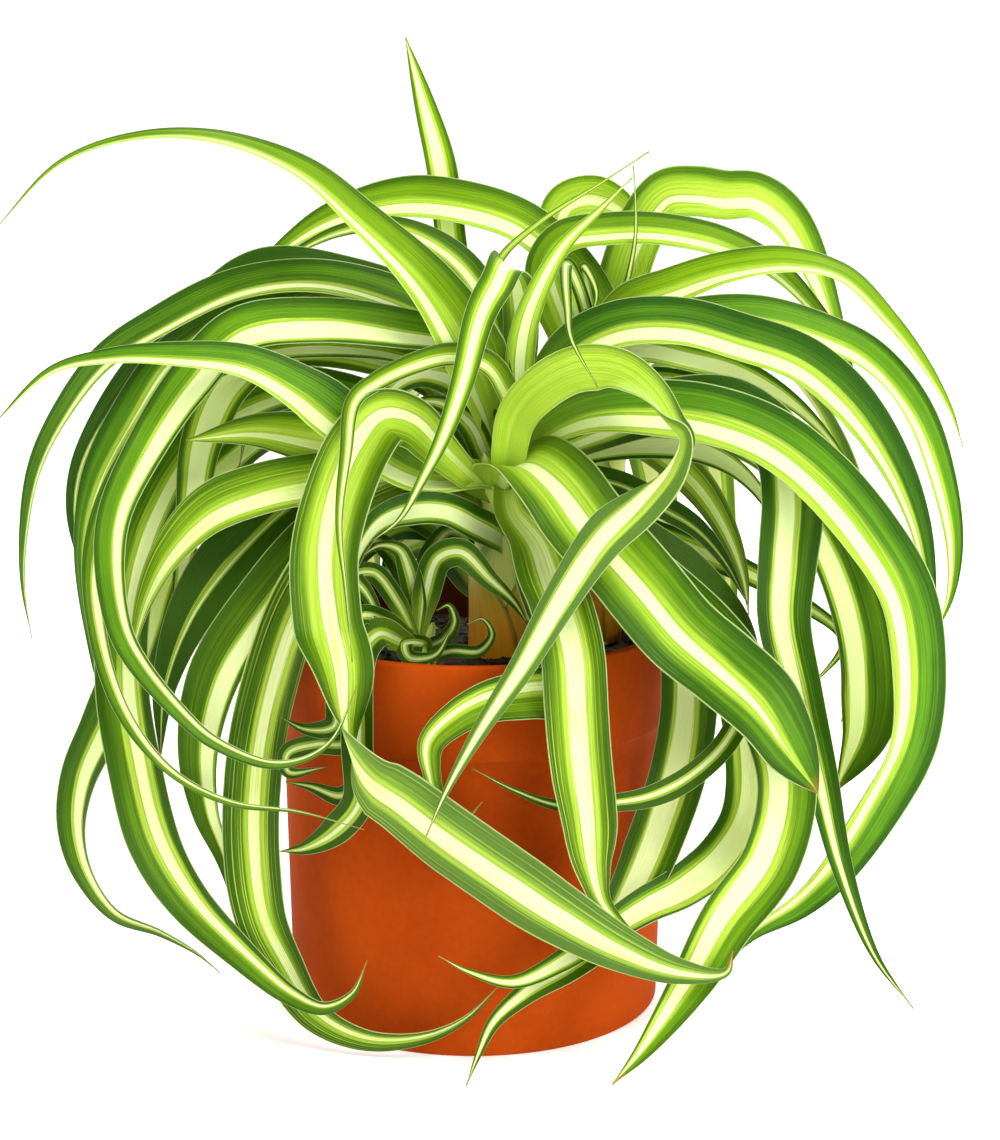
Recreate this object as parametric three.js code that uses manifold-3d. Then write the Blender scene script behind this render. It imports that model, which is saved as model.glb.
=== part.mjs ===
// Potted spider plant: long variegated leaves arching out of two crowns, with a curly plantlet at the
// rim, in a plain terracotta-coloured pot.
// Millimetres, +Z up. The origin is the centre of the pot's foot and the plant's front faces -Y.
import * as THREE from "three";
import { mergeVertices } from "three/addons/utils/BufferGeometryUtils.js";
import Module from "manifold-3d";

const wasm = await Module();
wasm.setup();

// Driving dimensions
const gap = 0.3;
const pot = {
  height: 132, rimRadius: 66, footRadius: 62.5, bandDepth: 31, bandStep: 1.4, wall: 2.8, floor: 3.5,
  edge: 1.2, sides: 40, holes: 6, holeRadius: 5, holeRing: 38, holeSides: 8,
};
const soil = { level: 119, crown: 2.5, edgeDrop: 2, shoulder: 0.6, clear: 0.45, stalkClear: [1, 2] };
const stalk = { sides: 12, steps: 3 };
// ringEvery: millimetres between a blade's rings. ringBend: what a radian of bend counts for there.
const blade = {
  thickness: 0.9, fold: 18, tipWidth: 1.4, neckEnd: 0.25, spanPoints: 16, ringEvery: 22.4, ringBend: 16,
};

// The crowns: foot in the soil, heart where the leaves part, and how far from the heart they stay joined.
const crowns = {
  main: { foot: [10, -3, 106], heart: [11, -6, 181], radius: [11.5, 9], sheath: 23 },
  back: { foot: [40, 22, 106], heart: [44, 16, 205], radius: [9, 6.5], sheath: 18 },
  plantlet: { foot: [-18, -29, 108], heart: [-18, -29, 131], radius: [5, 4], sheath: 12 },
};

const colours = {
  pot: 0xb9532a, soil: 0x2a2019, crown: 0x9fb64a, leaf: 0x6f9a35, darkLeaf: 0x4f7a26,
};

const front = new THREE.Vector3(0, -1, 0.23).normalize();
const vec = (p) => new THREE.Vector3(...p);

// Leaves. line: the midrib from root to tip. full: how far along the leaf keeps its width. taper: how
// square the tip is. neck: the root's width as a share. lean: degrees that the upper face turns away
// from the front, spread evenly from root to tip. Past 90 the underside shows.
const leaves = [
  {
    name: "leaf.high.left", width: 25, full: 0.15, taper: 0.6, lean: [0, 5, 30, 45, 50, 50],
    line: [[9, -5, 193], [4, -14, 213], [-2, -17, 227], [-15, -20, 247], [-36, -23, 267.5],
      [-54, -24, 282.5], [-79, -26, 292.5], [-104, -28, 293.5], [-129, -30, 285.5], [-152, -32, 263]],
  },
  {
    name: "leaf.upright", width: 11, full: 0.6, taper: 1.6, lean: [0, 10, 10, 0],
    line: [[8, 10, 190], [-2, 23, 219], [-7, 32, 253], [-10.5, 34, 280], [-16, 36, 301],
      [-22, 38, 322]],
  },
  {
    name: "leaf.back.arch", crown: "back", width: 16, full: 0.6, taper: 1.3, lean: [20, 15, 10, 20, 30],
    line: [[42, 18, 203], [43, 18, 226], [38, 20, 239], [29, 21, 251], [15, 22, 262], [-5, 24, 268],
      [-25, 25, 269], [-48, 25, 263], [-63, 24, 254], [-80, 23, 239]],
  },
  {
    name: "leaf.back.low", width: 11, full: 0.5, taper: 1.3, lean: [20, 25, 30, 30],
    line: [[11, 11, 194], [7, 14, 224], [1, 15, 242], [-11, 16, 254], [-28, 16, 261], [-45, 18, 259],
      [-73, 17, 245]],
  },
  {
    name: "leaf.left.dark", width: 15, full: 0.5, taper: 1.2, lean: [20, 30, 35, 35, 30],
    line: [[6, 7, 188], [-1, 7, 216], [-21, 10, 237], [-44, 11, 245.5], [-71, 11, 247],
      [-95, 10, 230.5], [-117, 8, 208], [-131, 4, 185], [-134, 2, 168], [-131, 0, 148], [-129, 0, 131]],
  },
  {
    name: "leaf.left.outer", width: 15, full: 0.6, taper: 1.1, lean: [10, 25, 35, 40, 45, 45],
    line: [[7, 0, 188], [1, 1, 214], [-9, -1, 230], [-24, -2, 239], [-50, -4, 246], [-76, -4, 243],
      [-102, -6, 231], [-121, -6, 219], [-135, -6, 201], [-144, -6, 183], [-149, -6, 160],
      [-150, -6, 143], [-148, -6, 126]],
  },
  {
    name: "leaf.left.hook", width: 17, full: 0.4, taper: 1.1, lean: [10, 20, 15, 20, 30, 40, 45],
    line: [[7, -2, 187], [3, -6, 210], [-6, -8, 225], [-24, -12, 230], [-50, -13, 233], [-75, -16, 230],
      [-91, -20, 214], [-103, -26, 197], [-114, -31, 175], [-116, -34, 159], [-113, -37, 137],
      [-107, -40, 126], [-92, -49, 111], [-82, -56, 105], [-62, -70, 102], [-44, -85, 113],
      [-35, -89, 132]],
  },
  {
    name: "leaf.left.hair", width: 12, full: 0.45, taper: 1.1, lean: [20, 30, 35, 30, 40, 50],
    line: [[5, 0, 185], [-2, -6, 208], [-21, -5, 220], [-44, -6, 224], [-66, -8, 223], [-84, -10, 217],
      [-101, -12, 203], [-117, -16, 177], [-124, -20, 153], [-122, -25, 130], [-113, -33, 107],
      [-98, -45, 92], [-78, -56, 85], [-55, -67, 85], [-34, -76, 82]],
  },
  {
    name: "leaf.left.lime", width: 16, full: 0.5, taper: 1.3, lean: [30, 30, 35, 40],
    line: [[5, 2, 187], [-6, 2, 222], [-31, 1, 238], [-57, 0, 239], [-83, -1, 232], [-100, -1, 220],
      [-113, -2, 201], [-125, -5, 178], [-130, -6, 153], [-127, -8, 122], [-122, -9, 94]],
  },
  {
    name: "leaf.left.far", width: 20, full: 0.4, taper: 0.8, lean: [20, 20, 30, 35, 40],
    line: [[5, -11, 181], [-17, -21, 185], [-41, -28, 202], [-55, -29, 213], [-72, -31, 222],
      [-96, -34, 225], [-115, -36, 225], [-133, -38, 221], [-153, -40, 203]],
  },
  {
    name: "leaf.kinked", width: 9.5, full: 0.3, taper: 1, neck: 0.7, lean: [20, 30, 20, 40, 50],
    line: [[15, -12, 193], [10, -20, 212], [4, -24, 221], [-7, -27, 224], [-18, -30, 222],
      [-30, -34, 217], [-37, -40, 212], [-39, -54, 197], [-41, -62, 177], [-39, -69, 157],
      [-37, -75, 136]],
  },
  {
    name: "leaf.twisted", width: 23, full: 0.75, taper: 1.5, neck: 0.35,
    lean: [10, 8, 5, 5, 5, 0, -70, -155, -168, -170, -170, -170, -170],
    line: [[2, -14, 179], [-11, -25, 193], [-20, -32, 203], [-28, -36, 205], [-35, -42, 198],
      [-42, -50, 183], [-46, -56, 166], [-45, -64, 147], [-42, -72, 133], [-40, -76, 114],
      [-33, -80, 99], [-22, -82, 91], [-10, -84, 82], [9, -86, 69], [27, -87, 57], [46, -85, 45],
      [65, -83, 37], [80, -80, 36], [82, -79, 43]],
  },
  {
    name: "leaf.folded", width: 12.5, full: 0.45, taper: 1.1, neck: 0.5, face: [0, 0, 1],
    lean: [0, 0, 0, -50, -60, -60, -60],
    line: [[13, -4, 193], [15, -8, 213], [15, -13, 234], [13, -21, 248], [10, -29, 253], [7, -36, 248],
      [2, -40, 238], [-3, -43, 219], [-9, -46, 202], [-16, -49, 188], [-23, -51, 176], [-32, -52, 169]],
  },
  {
    name: "leaf.needle", width: 4.5, full: 0.3, taper: 1, lean: [0, 10, 10],
    line: [[11, 0, 192], [7, -3, 216], [5, -5, 236], [8, -8, 252], [21, -11, 265], [41, -13, 278],
      [56, -15, 288]],
  },
  {
    name: "leaf.young", width: 10, full: 0.4, taper: 1.2, neck: 0.6, lean: [0, 0, 10, 20],
    line: [[15, -10, 197], [15, -18, 222], [17, -22, 235], [22, -25, 248], [29, -27, 260],
      [40, -29, 271], [50, -30, 281]],
  },
  {
    name: "leaf.right.wide", crown: "back", width: 18, full: 0.6, taper: 1.3,
    lean: [0, 0, 10, -20, -40, -30],
    line: [[47, 26, 203], [46, 28, 227], [50, 30, 243], [56, 31, 260], [64, 32, 270], [74, 32, 271],
      [83, 32, 268], [93, 31, 269], [104, 30, 262], [115, 28, 243], [123, 26, 220], [127, 24, 195]],
  },
  {
    name: "leaf.back.pale", crown: "back", width: 18, full: 0.8, taper: 1.5, lean: [0, 10, 10],
    line: [[43, 30, 204], [35, 36, 230.5], [29, 39, 250.5], [31, 41, 264.5], [39, 42, 267.5],
      [50, 42, 263.5], [57, 42, 253.5]],
  },
  {
    name: "leaf.right.cream", crown: "back", width: 12.5, full: 0.6, taper: 1.3,
    lean: [0, -10, -20, -30, -40],
    line: [[39, 14, 203], [29, 12, 227], [23, 12, 247], [29, 12, 257], [45, 13, 260], [61, 13, 260],
      [81, 13, 256], [98, 12, 248], [111, 11, 236], [122, 10, 222], [129, 9, 204]],
  },
  {
    name: "leaf.right.long", crown: "back", width: 13, full: 0.4, taper: 1.2,
    lean: [0, 0, -30, -50, -40, -30],
    line: [[44, 9, 207], [42, 8, 223], [50, 6, 236], [65, 5, 242], [84, 3, 248], [104, 2, 250],
      [121, 0, 246], [136, -2, 232], [148, -4, 217], [157, -5, 202], [161, -6, 191]],
  },
  {
    name: "leaf.right.green", crown: "back", width: 16, full: 0.6, taper: 1.2,
    lean: [-10, -10, -30, -40, -20, 0],
    line: [[42, 2, 204], [44, 0, 217], [55, -1, 226], [74, -2, 232], [94, -3, 233], [113, -4, 228],
      [129, -5, 219], [143.5, -7, 201], [151.5, -8, 182], [157, -9, 160], [157, -10, 142],
      [153, -10, 128]],
  },
  {
    name: "leaf.right.dark", width: 17, full: 0.6, taper: 1.2, lean: [-20, -15, -10, -20, -30],
    line: [[16, -4, 189], [23, -8, 210], [32, -11, 224], [47, -13, 232], [67, -14, 233], [86, -15, 228],
      [106, -16, 221], [122, -17, 208], [135, -18, 190], [145, -19, 167], [150, -20, 142],
      [152, -20, 122]],
  },
  {
    name: "leaf.right.under", width: 11, full: 0.6, taper: 1.2, lean: [-20, -20, -20, -30],
    line: [[17, 0, 187], [25, -2, 206], [38, -4, 220], [54, -8, 223.5], [70, -12, 221], [87, -10, 216],
      [103, -10, 207], [115, -11, 196], [125, -12, 183]],
  },
  {
    name: "leaf.inner.upper", width: 9.5, full: 0.6, taper: 1.2, lean: [-20, -20, -20],
    line: [[17, -2, 180], [28, -2, 185], [42, -3, 189], [58, -7, 191], [73, -10, 190], [86, -12, 184],
      [96, -13, 173], [101, -13, 159]],
  },
  {
    name: "leaf.inner.striped", width: 13.5, full: 0.6, taper: 1.2, lean: [-20, -20, -20],
    line: [[17, 6, 182], [32, 5, 191], [52, 2, 192], [66, 0, 184], [76, 0, 174], [85, -2, 159],
      [90, -2, 145], [92, -2, 133]],
  },
  {
    name: "leaf.inner.dark", width: 10, full: 0.6, taper: 1.2, lean: [-30, -30, -30],
    line: [[17, -6, 177], [33, -10, 181], [48, -12, 179], [61, -14, 172], [73, -16, 165],
      [82, -18, 155], [90, -19, 141]],
  },
  {
    name: "leaf.inner.lower", width: 15, full: 0.6, taper: 1.2, lean: [-30, -30, -30],
    line: [[16, -10, 174], [30, -18, 174], [44, -22, 170], [57, -24, 162], [74, -26, 150],
      [87, -27, 137], [95, -28, 121]],
  },
  {
    name: "leaf.right.great", width: 21.5, full: 0.7, taper: 1.6,
    lean: [-20, -15, -15, -15, -20, -30, -60, -70],
    line: [[13, -8, 184], [22, -17, 196], [37, -26, 205], [57, -30, 207], [76, -33, 205],
      [95, -35, 198], [112, -37, 185], [127, -38, 167], [139, -38, 147], [144.5, -37, 123],
      [143.5, -37, 101], [135, -37, 81], [121.5, -38, 58], [107, -41, 45], [92, -44, 36],
      [83, -47, 27]],
  },
  {
    name: "leaf.right.hanging", width: 21.5, full: 0.45, taper: 1.1, lean: [-30, -20, 0, 0, 0],
    line: [[15, 4, 181], [38, -8, 194], [61, -16, 204], [83, -22, 206], [99, -25, 193],
      [102, -29, 178], [101, -33, 159], [100, -38, 140], [105, -43, 118], [112, -48, 91],
      [119, -52, 62], [130, -56, 33], [143, -58, 15]],
  },
  {
    name: "leaf.front.broad", width: 28, full: 0.62, taper: 1.7, neck: 0.75, face: [0, 0, 1],
    lean: [0, 15, 45, 56, 56, 52, 50],
    line: [[10, -14, 177], [12, -23, 186], [18, -31, 189], [27, -41, 184], [39, -52, 170],
      [53, -58, 155], [65, -62, 141], [78, -65, 130], [89, -67, 120], [98, -67, 107], [105, -67, 97],
      [109, -67, 91]],
  },
  {
    name: "leaf.right.floor", width: 20, full: 0.6, taper: 1.5, lean: [-20, -10, 0, 0, 10],
    line: [[17, -21, 172], [35, -31, 168], [56, -42, 155], [77, -50, 137], [93, -53, 114],
      [100, -57, 91], [95, -61, 67], [80, -67, 49], [68, -73, 31], [51, -83, 11], [41, -89, 2]],
  },
  {
    name: "leaf.front.diagonal", width: 17, full: 0.5, taper: 1.1, neck: 0.7,
    lean: [0, 0, -20, -80, -175, -180, -180, -180],
    line: [[11, -21, 187], [14, -27, 204], [23, -34, 215], [34, -39, 221], [45, -44, 221],
      [54, -53, 216], [60, -61, 209], [64, -66, 204], [60, -71, 196], [51, -76, 187], [39, -82, 176],
      [27, -88, 159], [15, -94, 139], [3, -97, 121], [-7, -98, 103], [-14, -98, 87]],
  },
  {
    name: "leaf.front.hanging", width: 21, full: 0.75, taper: 1.5, neck: 0.4, face: [0, -1, 1],
    lean: [0, 0, 0, 0, -10, -40, -50],
    line: [[11, -15, 178], [13, -26, 172], [20, -34, 164], [24, -46, 155], [28, -63, 148],
      [31, -77, 137], [32, -78, 121], [33, -77, 105], [35, -76, 85], [37, -76, 68], [41, -75, 56],
      [55, -75, 42]],
  },
  {
    name: "leaf.right.behind", crown: "back", width: 21.5, full: 0.6, taper: 1.2,
    lean: [-10, -20, -10, 0, 20],
    line: [[48, 14, 195], [72, 10, 197], [99, 5, 188], [116, 0, 165], [126, -3, 144], [132, -6, 120],
      [132, -9, 95], [122, -11, 74]],
  },
  {
    name: "leaf.right.pot", width: 19.5, full: 0.5, taper: 1.1, lean: [-20, 0, 0, 20, 20, 10],
    line: [[15, -5, 166], [35, -13, 161], [54, -23, 150], [68, -32, 132], [70, -35, 113], [67, -41, 91],
      [61, -46, 72], [54, -53, 57], [44, -64, 44], [31, -72, 35], [18, -76, 28], [7, -79, 19],
      [2, -83, 10], [-2, -90, 2]],
  },
  {
    name: "leaf.front.thin", width: 6, full: 0.4, taper: 1.1, lean: [-20, 0, 0, 0],
    line: [[16, -17, 173], [34, -28, 169], [60, -36, 153], [81, -44, 132], [86, -48, 115],
      [81, -53, 104], [69, -59, 94], [56, -64, 89], [42, -68, 88], [27, -70, 88], [13, -70, 93],
      [0, -70, 100]],
  },
  {
    name: "leaf.right.sweep", width: 16, full: 0.5, taper: 1.1, lean: [-20, -10, 0, 20, 20, 10],
    line: [[17, 2, 173], [42, -4, 169], [68, -12, 147], [84, -21, 122], [90, -30, 96], [89, -39, 75],
      [80, -48, 63], [68, -56, 56], [55, -64, 52], [40, -72, 45], [28, -76, 38], [13, -78, 32],
      [-1, -77, 35], [-11, -76, 40]],
  },
  {
    name: "leaf.front.rim", width: 17, full: 0.5, taper: 1.1, neck: 0.4, face: [0, -1, 1],
    lean: [0, 0, 0, -20, -32, -20, 0],
    line: [[11, -8, 167], [20, -24, 154], [26, -48, 144], [30, -67, 136], [28, -71, 126],
      [18, -73, 125], [5, -74, 123], [-5, -75, 118], [-13, -76, 110], [-13, -75, 100], [-10, -74, 91],
      [-2, -73, 85], [3, -73, 90]],
  },
  {
    name: "leaf.low.left", width: 19, full: 0.7, taper: 1.3, lean: [30, 40, 30, 10, 0, 10, 30],
    line: [[3, 11, 180], [-25, 11, 199], [-61, 8, 206], [-91, 5, 191], [-108, 0, 165], [-115, -9, 140],
      [-116, -18, 115], [-112, -26, 88], [-105, -35, 65], [-93, -45, 48], [-74, -55, 32],
      [-59, -60, 21], [-48, -64, 18], [-39, -65, 23], [-34, -67, 35]],
  },
  {
    name: "leaf.far.left", width: 18, full: 0.8, taper: 1.3, lean: [30, 40, 30, 0, 50, 60, 60],
    line: [[3, 17, 182], [-25, 18, 194], [-59, 18, 196], [-86, 15, 179], [-105, 9, 149],
      [-116, 4, 116], [-127, 0, 93], [-135, -3, 76], [-137, -6, 60], [-133, -9, 44],
      [-123, -11, 29.5], [-107, -12, 23.5], [-95, -13, 17.5], [-87, -14, 10.5]],
  },
  {
    name: "leaf.left.wall", width: 18, full: 0.6, taper: 1.2, lean: [20, 20, 10, 0, 10, 30, 50],
    line: [[1, -9, 174], [-21, -24, 177], [-41, -30, 165], [-56, -37, 145], [-65.5, -45, 119],
      [-70.5, -48, 93], [-71.5, -50, 66], [-68.5, -51, 43], [-61.5, -52, 28], [-51, -57, 13],
      [-35, -63, 7], [-17, -67, 9], [-3, -69, 16], [9, -69, 28]],
  },
  {
    name: "leaf.left.drop", width: 18.5, full: 0.6, taper: 1.2, lean: [20, 20, 10, 0, 0],
    line: [[1, -2, 174], [-24, -8, 176], [-47, -18, 166], [-68, -29, 145], [-83, -38, 123],
      [-89, -42, 98], [-87, -45, 78], [-81, -48, 62], [-77, -49, 43]],
  },
  {
    name: "leaf.left.shade", width: 22, full: 0.6, taper: 1.2, lean: [15, 15, 15, 15],
    line: [[2, 6, 177], [-25, 2, 180], [-51, -6, 173], [-74, -14, 153], [-90, -22, 134],
      [-100, -28, 112], [-103, -31, 91]],
  },
  {
    name: "leaf.left.pale", width: 16.5, full: 0.6, taper: 1.2, lean: [30, 20, 10, 10],
    line: [[2, 0, 186], [-14, 1, 211], [-37, 1, 221], [-64, -1, 222], [-80, -2, 211], [-89, -4, 193],
      [-93, -7, 170], [-98, -7, 143], [-102, -8, 121]],
  },
  {
    name: "leaf.left.broad", width: 19, full: 0.6, taper: 1.2, lean: [20, 20, 20, 20],
    line: [[2, -5, 179], [-24, -14, 186], [-47, -20, 183], [-67, -25, 180], [-85, -26, 173],
      [-99, -25, 159], [-107, -25, 144], [-113, -24, 123]],
  },
  {
    name: "leaf.left.pointed", width: 20, full: 0.55, taper: 1.5, lean: [10, 10, 10],
    line: [[3, 0, 181], [-11, -2, 189], [-31, -8, 191], [-50, -12, 194], [-71, -17, 198],
      [-93, -22, 196]],
  },
  {
    name: "leaf.inner.arch", width: 12, full: 0.6, taper: 1.2, lean: [10, 20, 20],
    line: [[9, -16, 162], [1, -22, 168], [-9, -28, 174], [-20, -33, 175], [-30, -38, 172],
      [-36, -42, 164], [-39, -45, 152]],
  },
];

// Small young leaves that stay joined to their crown for their whole length.
const youngLeaves = [
  {
    crown: "main", width: 11,
    line: [[6, -6, 191], [1, -10, 206], [-7, -14, 214], [-17, -13, 216], [-27, -9, 210],
      [-34, -3, 198]],
  },
  {
    crown: "main", width: 9,
    line: [[5, -8, 186], [-1, -12, 199], [-9, -14, 206], [-17, -13, 207], [-24, -13, 203]],
  },
  {
    crown: "main", width: 10, lean: [30, 30],
    line: [[4, 11, 187], [-11, 18, 209], [-35, 20, 218], [-55, 21, 219], [-71, 19, 211], [-79, 9, 181]],
  },
  {
    crown: "main", width: 10,
    line: [[17, 4, 175], [49, 2, 164], [82, 3, 151], [109, 1, 137], [124, -2, 124], [112, -4, 107]],
  },
  {
    crown: "main", width: 16,
    line: [[3, 3, 150], [-9, 14, 160], [-25, 21, 161], [-39, 25, 149], [-47, 27, 130]],
  },
  {
    crown: "main", width: 16,
    line: [[6, 6, 142], [-4, 22, 153], [-14, 33, 158], [-26, 42, 150], [-34, 48, 130]],
  },
  {
    crown: "main", width: 15,
    line: [[2, 4, 150], [-20, 16, 166], [-46, 32, 170], [-70, 46, 158], [-86, 54, 134], [-92, 58, 108]],
  },
  {
    crown: "back", width: 8, lean: [-20, -20],
    line: [[46, 8, 204], [58, 3, 212], [75, 1, 210], [91, 0, 205], [104, -2, 197], [114, -4, 186]],
  },
  {
    crown: "back", width: 5,
    line: [[44, 7, 207], [39, 3, 227], [34, -6, 244], [30, -15, 252], [30, -34, 240], [31, -44, 232],
      [39, -51, 218]],
  },
  {
    crown: "back", width: 5,
    line: [[45, 6, 207], [41, 2, 225], [38, -1, 239], [36, -3, 250], [40, -6, 242], [37, -9, 230]],
  },
  {
    crown: "back", width: 2.2, neck: 0.8,
    line: [[46, 10, 209], [46, 10, 227], [50, 9, 241], [53, 7, 258], [53, 6, 269], [52, 5, 282]],
  },
];

// The curly plantlet: short leaves that roll up above the soil and over the rim.
const plantletLeaves = [
  {
    width: 8,
    line: [[-19, -28, 144], [-21, -30, 155], [-24, -32, 162], [-30, -35, 164], [-36, -38, 161]],
  },
  {
    width: 10,
    line: [[-15, -29, 148], [-11, -31, 159], [-4, -32, 161], [5, -35, 153], [13, -38, 146],
      [18, -38, 138]],
  },
  {
    width: 9,
    line: [[-20, -26, 145], [-24, -21, 155], [-31, -16, 161], [-38, -13, 161], [-43, -11, 153]],
  },
  {
    width: 8,
    line: [[-17, -25, 146], [-14, -21, 158], [-8, -18, 165], [-2, -18, 162], [0, -20, 152]],
  },
  {
    width: 6,
    line: [[-16, -34, 131], [-22, -42, 133], [-20, -47, 130], [-12, -47, 131], [-7, -45, 139]],
  },
  { width: 5, line: [[-9, -36, 134], [-6, -38, 140], [-8, -38, 145], [-12, -37, 143]] },
  { width: 4.5, line: [[-7, -38, 130], [2, -42, 131], [6, -44, 137], [3, -44, 142], [-2, -43, 140]] },
  {
    width: 7,
    line: [[-25, -31, 145], [-32, -35, 155], [-38, -40, 155], [-34, -42, 150], [-31, -42, 143],
      [-32, -43, 137], [-39, -44, 132]],
  },
  {
    width: 5, lean: [0, 20],
    line: [[-28, -42, 141], [-36, -54, 145], [-41, -59, 136], [-43, -60, 120], [-44, -60, 111],
      [-53, -57, 109], [-61, -54, 112]],
  },
  {
    width: 5, lean: [0, 20],
    line: [[-26, -40, 136], [-34, -50, 141], [-39, -58, 135], [-40, -59, 119], [-41, -59, 105],
      [-49, -57, 104], [-59, -54, 100], [-59, -53, 94], [-47, -55, 96]],
  },
  {
    width: 5, lean: [0, 20],
    line: [[-25, -40, 134], [-33, -51, 139], [-36, -60, 133], [-37, -63, 114], [-36, -63, 93],
      [-42, -61, 88], [-52, -57, 90], [-60, -55, 91]],
  },
  {
    width: 9, lean: [0, 20],
    line: [[-23, -41, 134], [-30, -51, 139], [-35, -61, 134], [-36, -65, 108], [-36, -66, 88],
      [-44, -63, 77], [-54, -59, 70], [-62, -56, 68]],
  },
];

// Rear leaves, which arch back and down by one rule. reach and rise follow the midrib away from its crown.
const rear = {
  main: {
    azimuths: [74, 95, 114, 131],
    reach: [10, 30, 58, 86, 104, 110, 106],
    rise: [176, 194, 204, 190, 156, 112, 74],
  },
  back: {
    azimuths: [16, 36, 56, 76],
    reach: [8, 28, 52, 74, 88, 92, 88],
    rise: [206, 214, 219, 200, 166, 124, 84],
  },
  width: 16, full: 0.55, taper: 1.2, neck: 0.4, lean: [90, 84, 96, 88],
  everySecondLower: 14, everySecondShorter: 0.88, sway: 5,
};

for (const crown of ["main", "back"]) {
  const [heartX, heartY] = crowns[crown].heart;
  rear[crown].azimuths.forEach((azimuth, index) => {
    const angle = THREE.MathUtils.degToRad(azimuth);
    const lower = index % 2;
    const line = rear[crown].reach.map((reach, step) => {
      const out = reach * (lower ? rear.everySecondShorter : 1);
      const turn = angle + THREE.MathUtils.degToRad(rear.sway) * Math.sin(step + index * 2);
      return [
        heartX + out * Math.cos(turn),
        heartY + out * Math.sin(turn),
        rear[crown].rise[step] - lower * rear.everySecondLower,
      ];
    });
    leaves.push({
      name: `leaf.rear.${crown}.${index + 1}`,
      crown, line,
      face: [-Math.sin(angle), Math.cos(angle), 0],
      width: rear.width, full: rear.full, taper: rear.taper, neck: rear.neck, lean: rear.lean,
    });
  });
}

// A closed solid through rings of points that all have the same count. A convex ring is closed by a fan.
function loft(rings, capTriangles) {
  const count = rings[0].length;
  const positions = rings.flat().flatMap((p) => [p.x, p.y, p.z]);
  const triangles = [];
  for (let r = 0; r + 1 < rings.length; r += 1) {
    for (let k = 0; k < count; k += 1) {
      const a = r * count + k;
      const b = r * count + (k + 1) % count;
      // A blade's upper half and its lower half are split along the same diagonals.
      if (k < count / 2) triangles.push(a, b + count, b, a, a + count, b + count);
      else triangles.push(a, a + count, b, b, a + count, b + count);
    }
  }
  const last = (rings.length - 1) * count;
  const caps = capTriangles ?? Array.from({ length: count - 2 }, (_, k) => [0, k + 1, k + 2]);
  for (const [a, b, c] of caps) {
    triangles.push(a, b, c);
    triangles.push(last + a, last + c, last + b);
  }
  const geometry = new THREE.BufferGeometry();
  geometry.setAttribute("position", new THREE.Float32BufferAttribute(positions, 3));
  geometry.setIndex(triangles);
  return geometry;
}

// Geometry to a manifold-3d solid and back.
function solidOf(geometry) {
  const bare = geometry.clone();
  bare.deleteAttribute("normal");
  bare.deleteAttribute("uv");
  const merged = mergeVertices(bare, 1e-4);
  const mesh = new wasm.Mesh({
    numProp: 3,
    vertProperties: Float32Array.from(merged.attributes.position.array),
    triVerts: Uint32Array.from(merged.index.array),
  });
  return new wasm.Manifold(mesh);
}

function geometryOf(solid) {
  const { vertProperties, triVerts, numProp } = solid.getMesh();
  const positions = [];
  for (let i = 0; i < vertProperties.length; i += numProp) positions.push(...vertProperties.slice(i, i + 3));
  const geometry = new THREE.BufferGeometry();
  geometry.setAttribute("position", new THREE.Float32BufferAttribute(positions, 3));
  geometry.setIndex(Array.from(triVerts));
  return geometry;
}

// The leaf's midrib from inside its crown: the points that carry rings, closer together where it bends.
function stationsOf(leaf) {
  const crown = crowns[leaf.crown ?? "main"];
  const foot = vec(crown.foot);
  const heart = vec(crown.heart);
  const share = THREE.MathUtils.clamp((leaf.line[0][2] - 6 - foot.z) / (heart.z - foot.z), 0.3, 1);
  const points = [foot.clone().lerp(heart, share), ...leaf.line.map(vec)];
  const curve = new THREE.CatmullRomCurve3(points, false, "centripetal");
  const dense = curve.getPoints((points.length - 1) * blade.spanPoints);
  const run = [0];
  const cost = [0];
  for (let i = 1; i < dense.length; i += 1) {
    const step = dense[i].distanceTo(dense[i - 1]);
    const before = dense[i].clone().sub(dense[i - 1]);
    const after = dense[Math.min(i + 1, dense.length - 1)].clone().sub(dense[i]);
    const bend = after.lengthSq() > 0 ? before.angleTo(after) : 0;
    run.push(run[i - 1] + step);
    cost.push(cost[i - 1] + step + blade.ringBend * bend);
  }
  const total = cost.at(-1);
  const count = Math.max(5, Math.round(total / blade.ringEvery));
  const at = (target) => {
    let i = 1;
    while (i < cost.length - 1 && cost[i] < target) i += 1;
    const part = THREE.MathUtils.clamp((target - cost[i - 1]) / (cost[i] - cost[i - 1]), 0, 1);
    return {
      point: dense[i - 1].clone().lerp(dense[i], part),
      along: (run[i - 1] + (run[i] - run[i - 1]) * part) / run.at(-1),
      tangent: dense[Math.min(i + 1, dense.length - 1)].clone().sub(dense[i - 1]).normalize(),
    };
  };
  return Array.from({ length: count + 1 }, (_, k) => at((total * k) / count));
}

function spread(values, along) {
  const place = along * (values.length - 1);
  const low = Math.min(Math.floor(place), values.length - 2);
  return values[low] + (values[low + 1] - values[low]) * (place - low);
}

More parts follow.
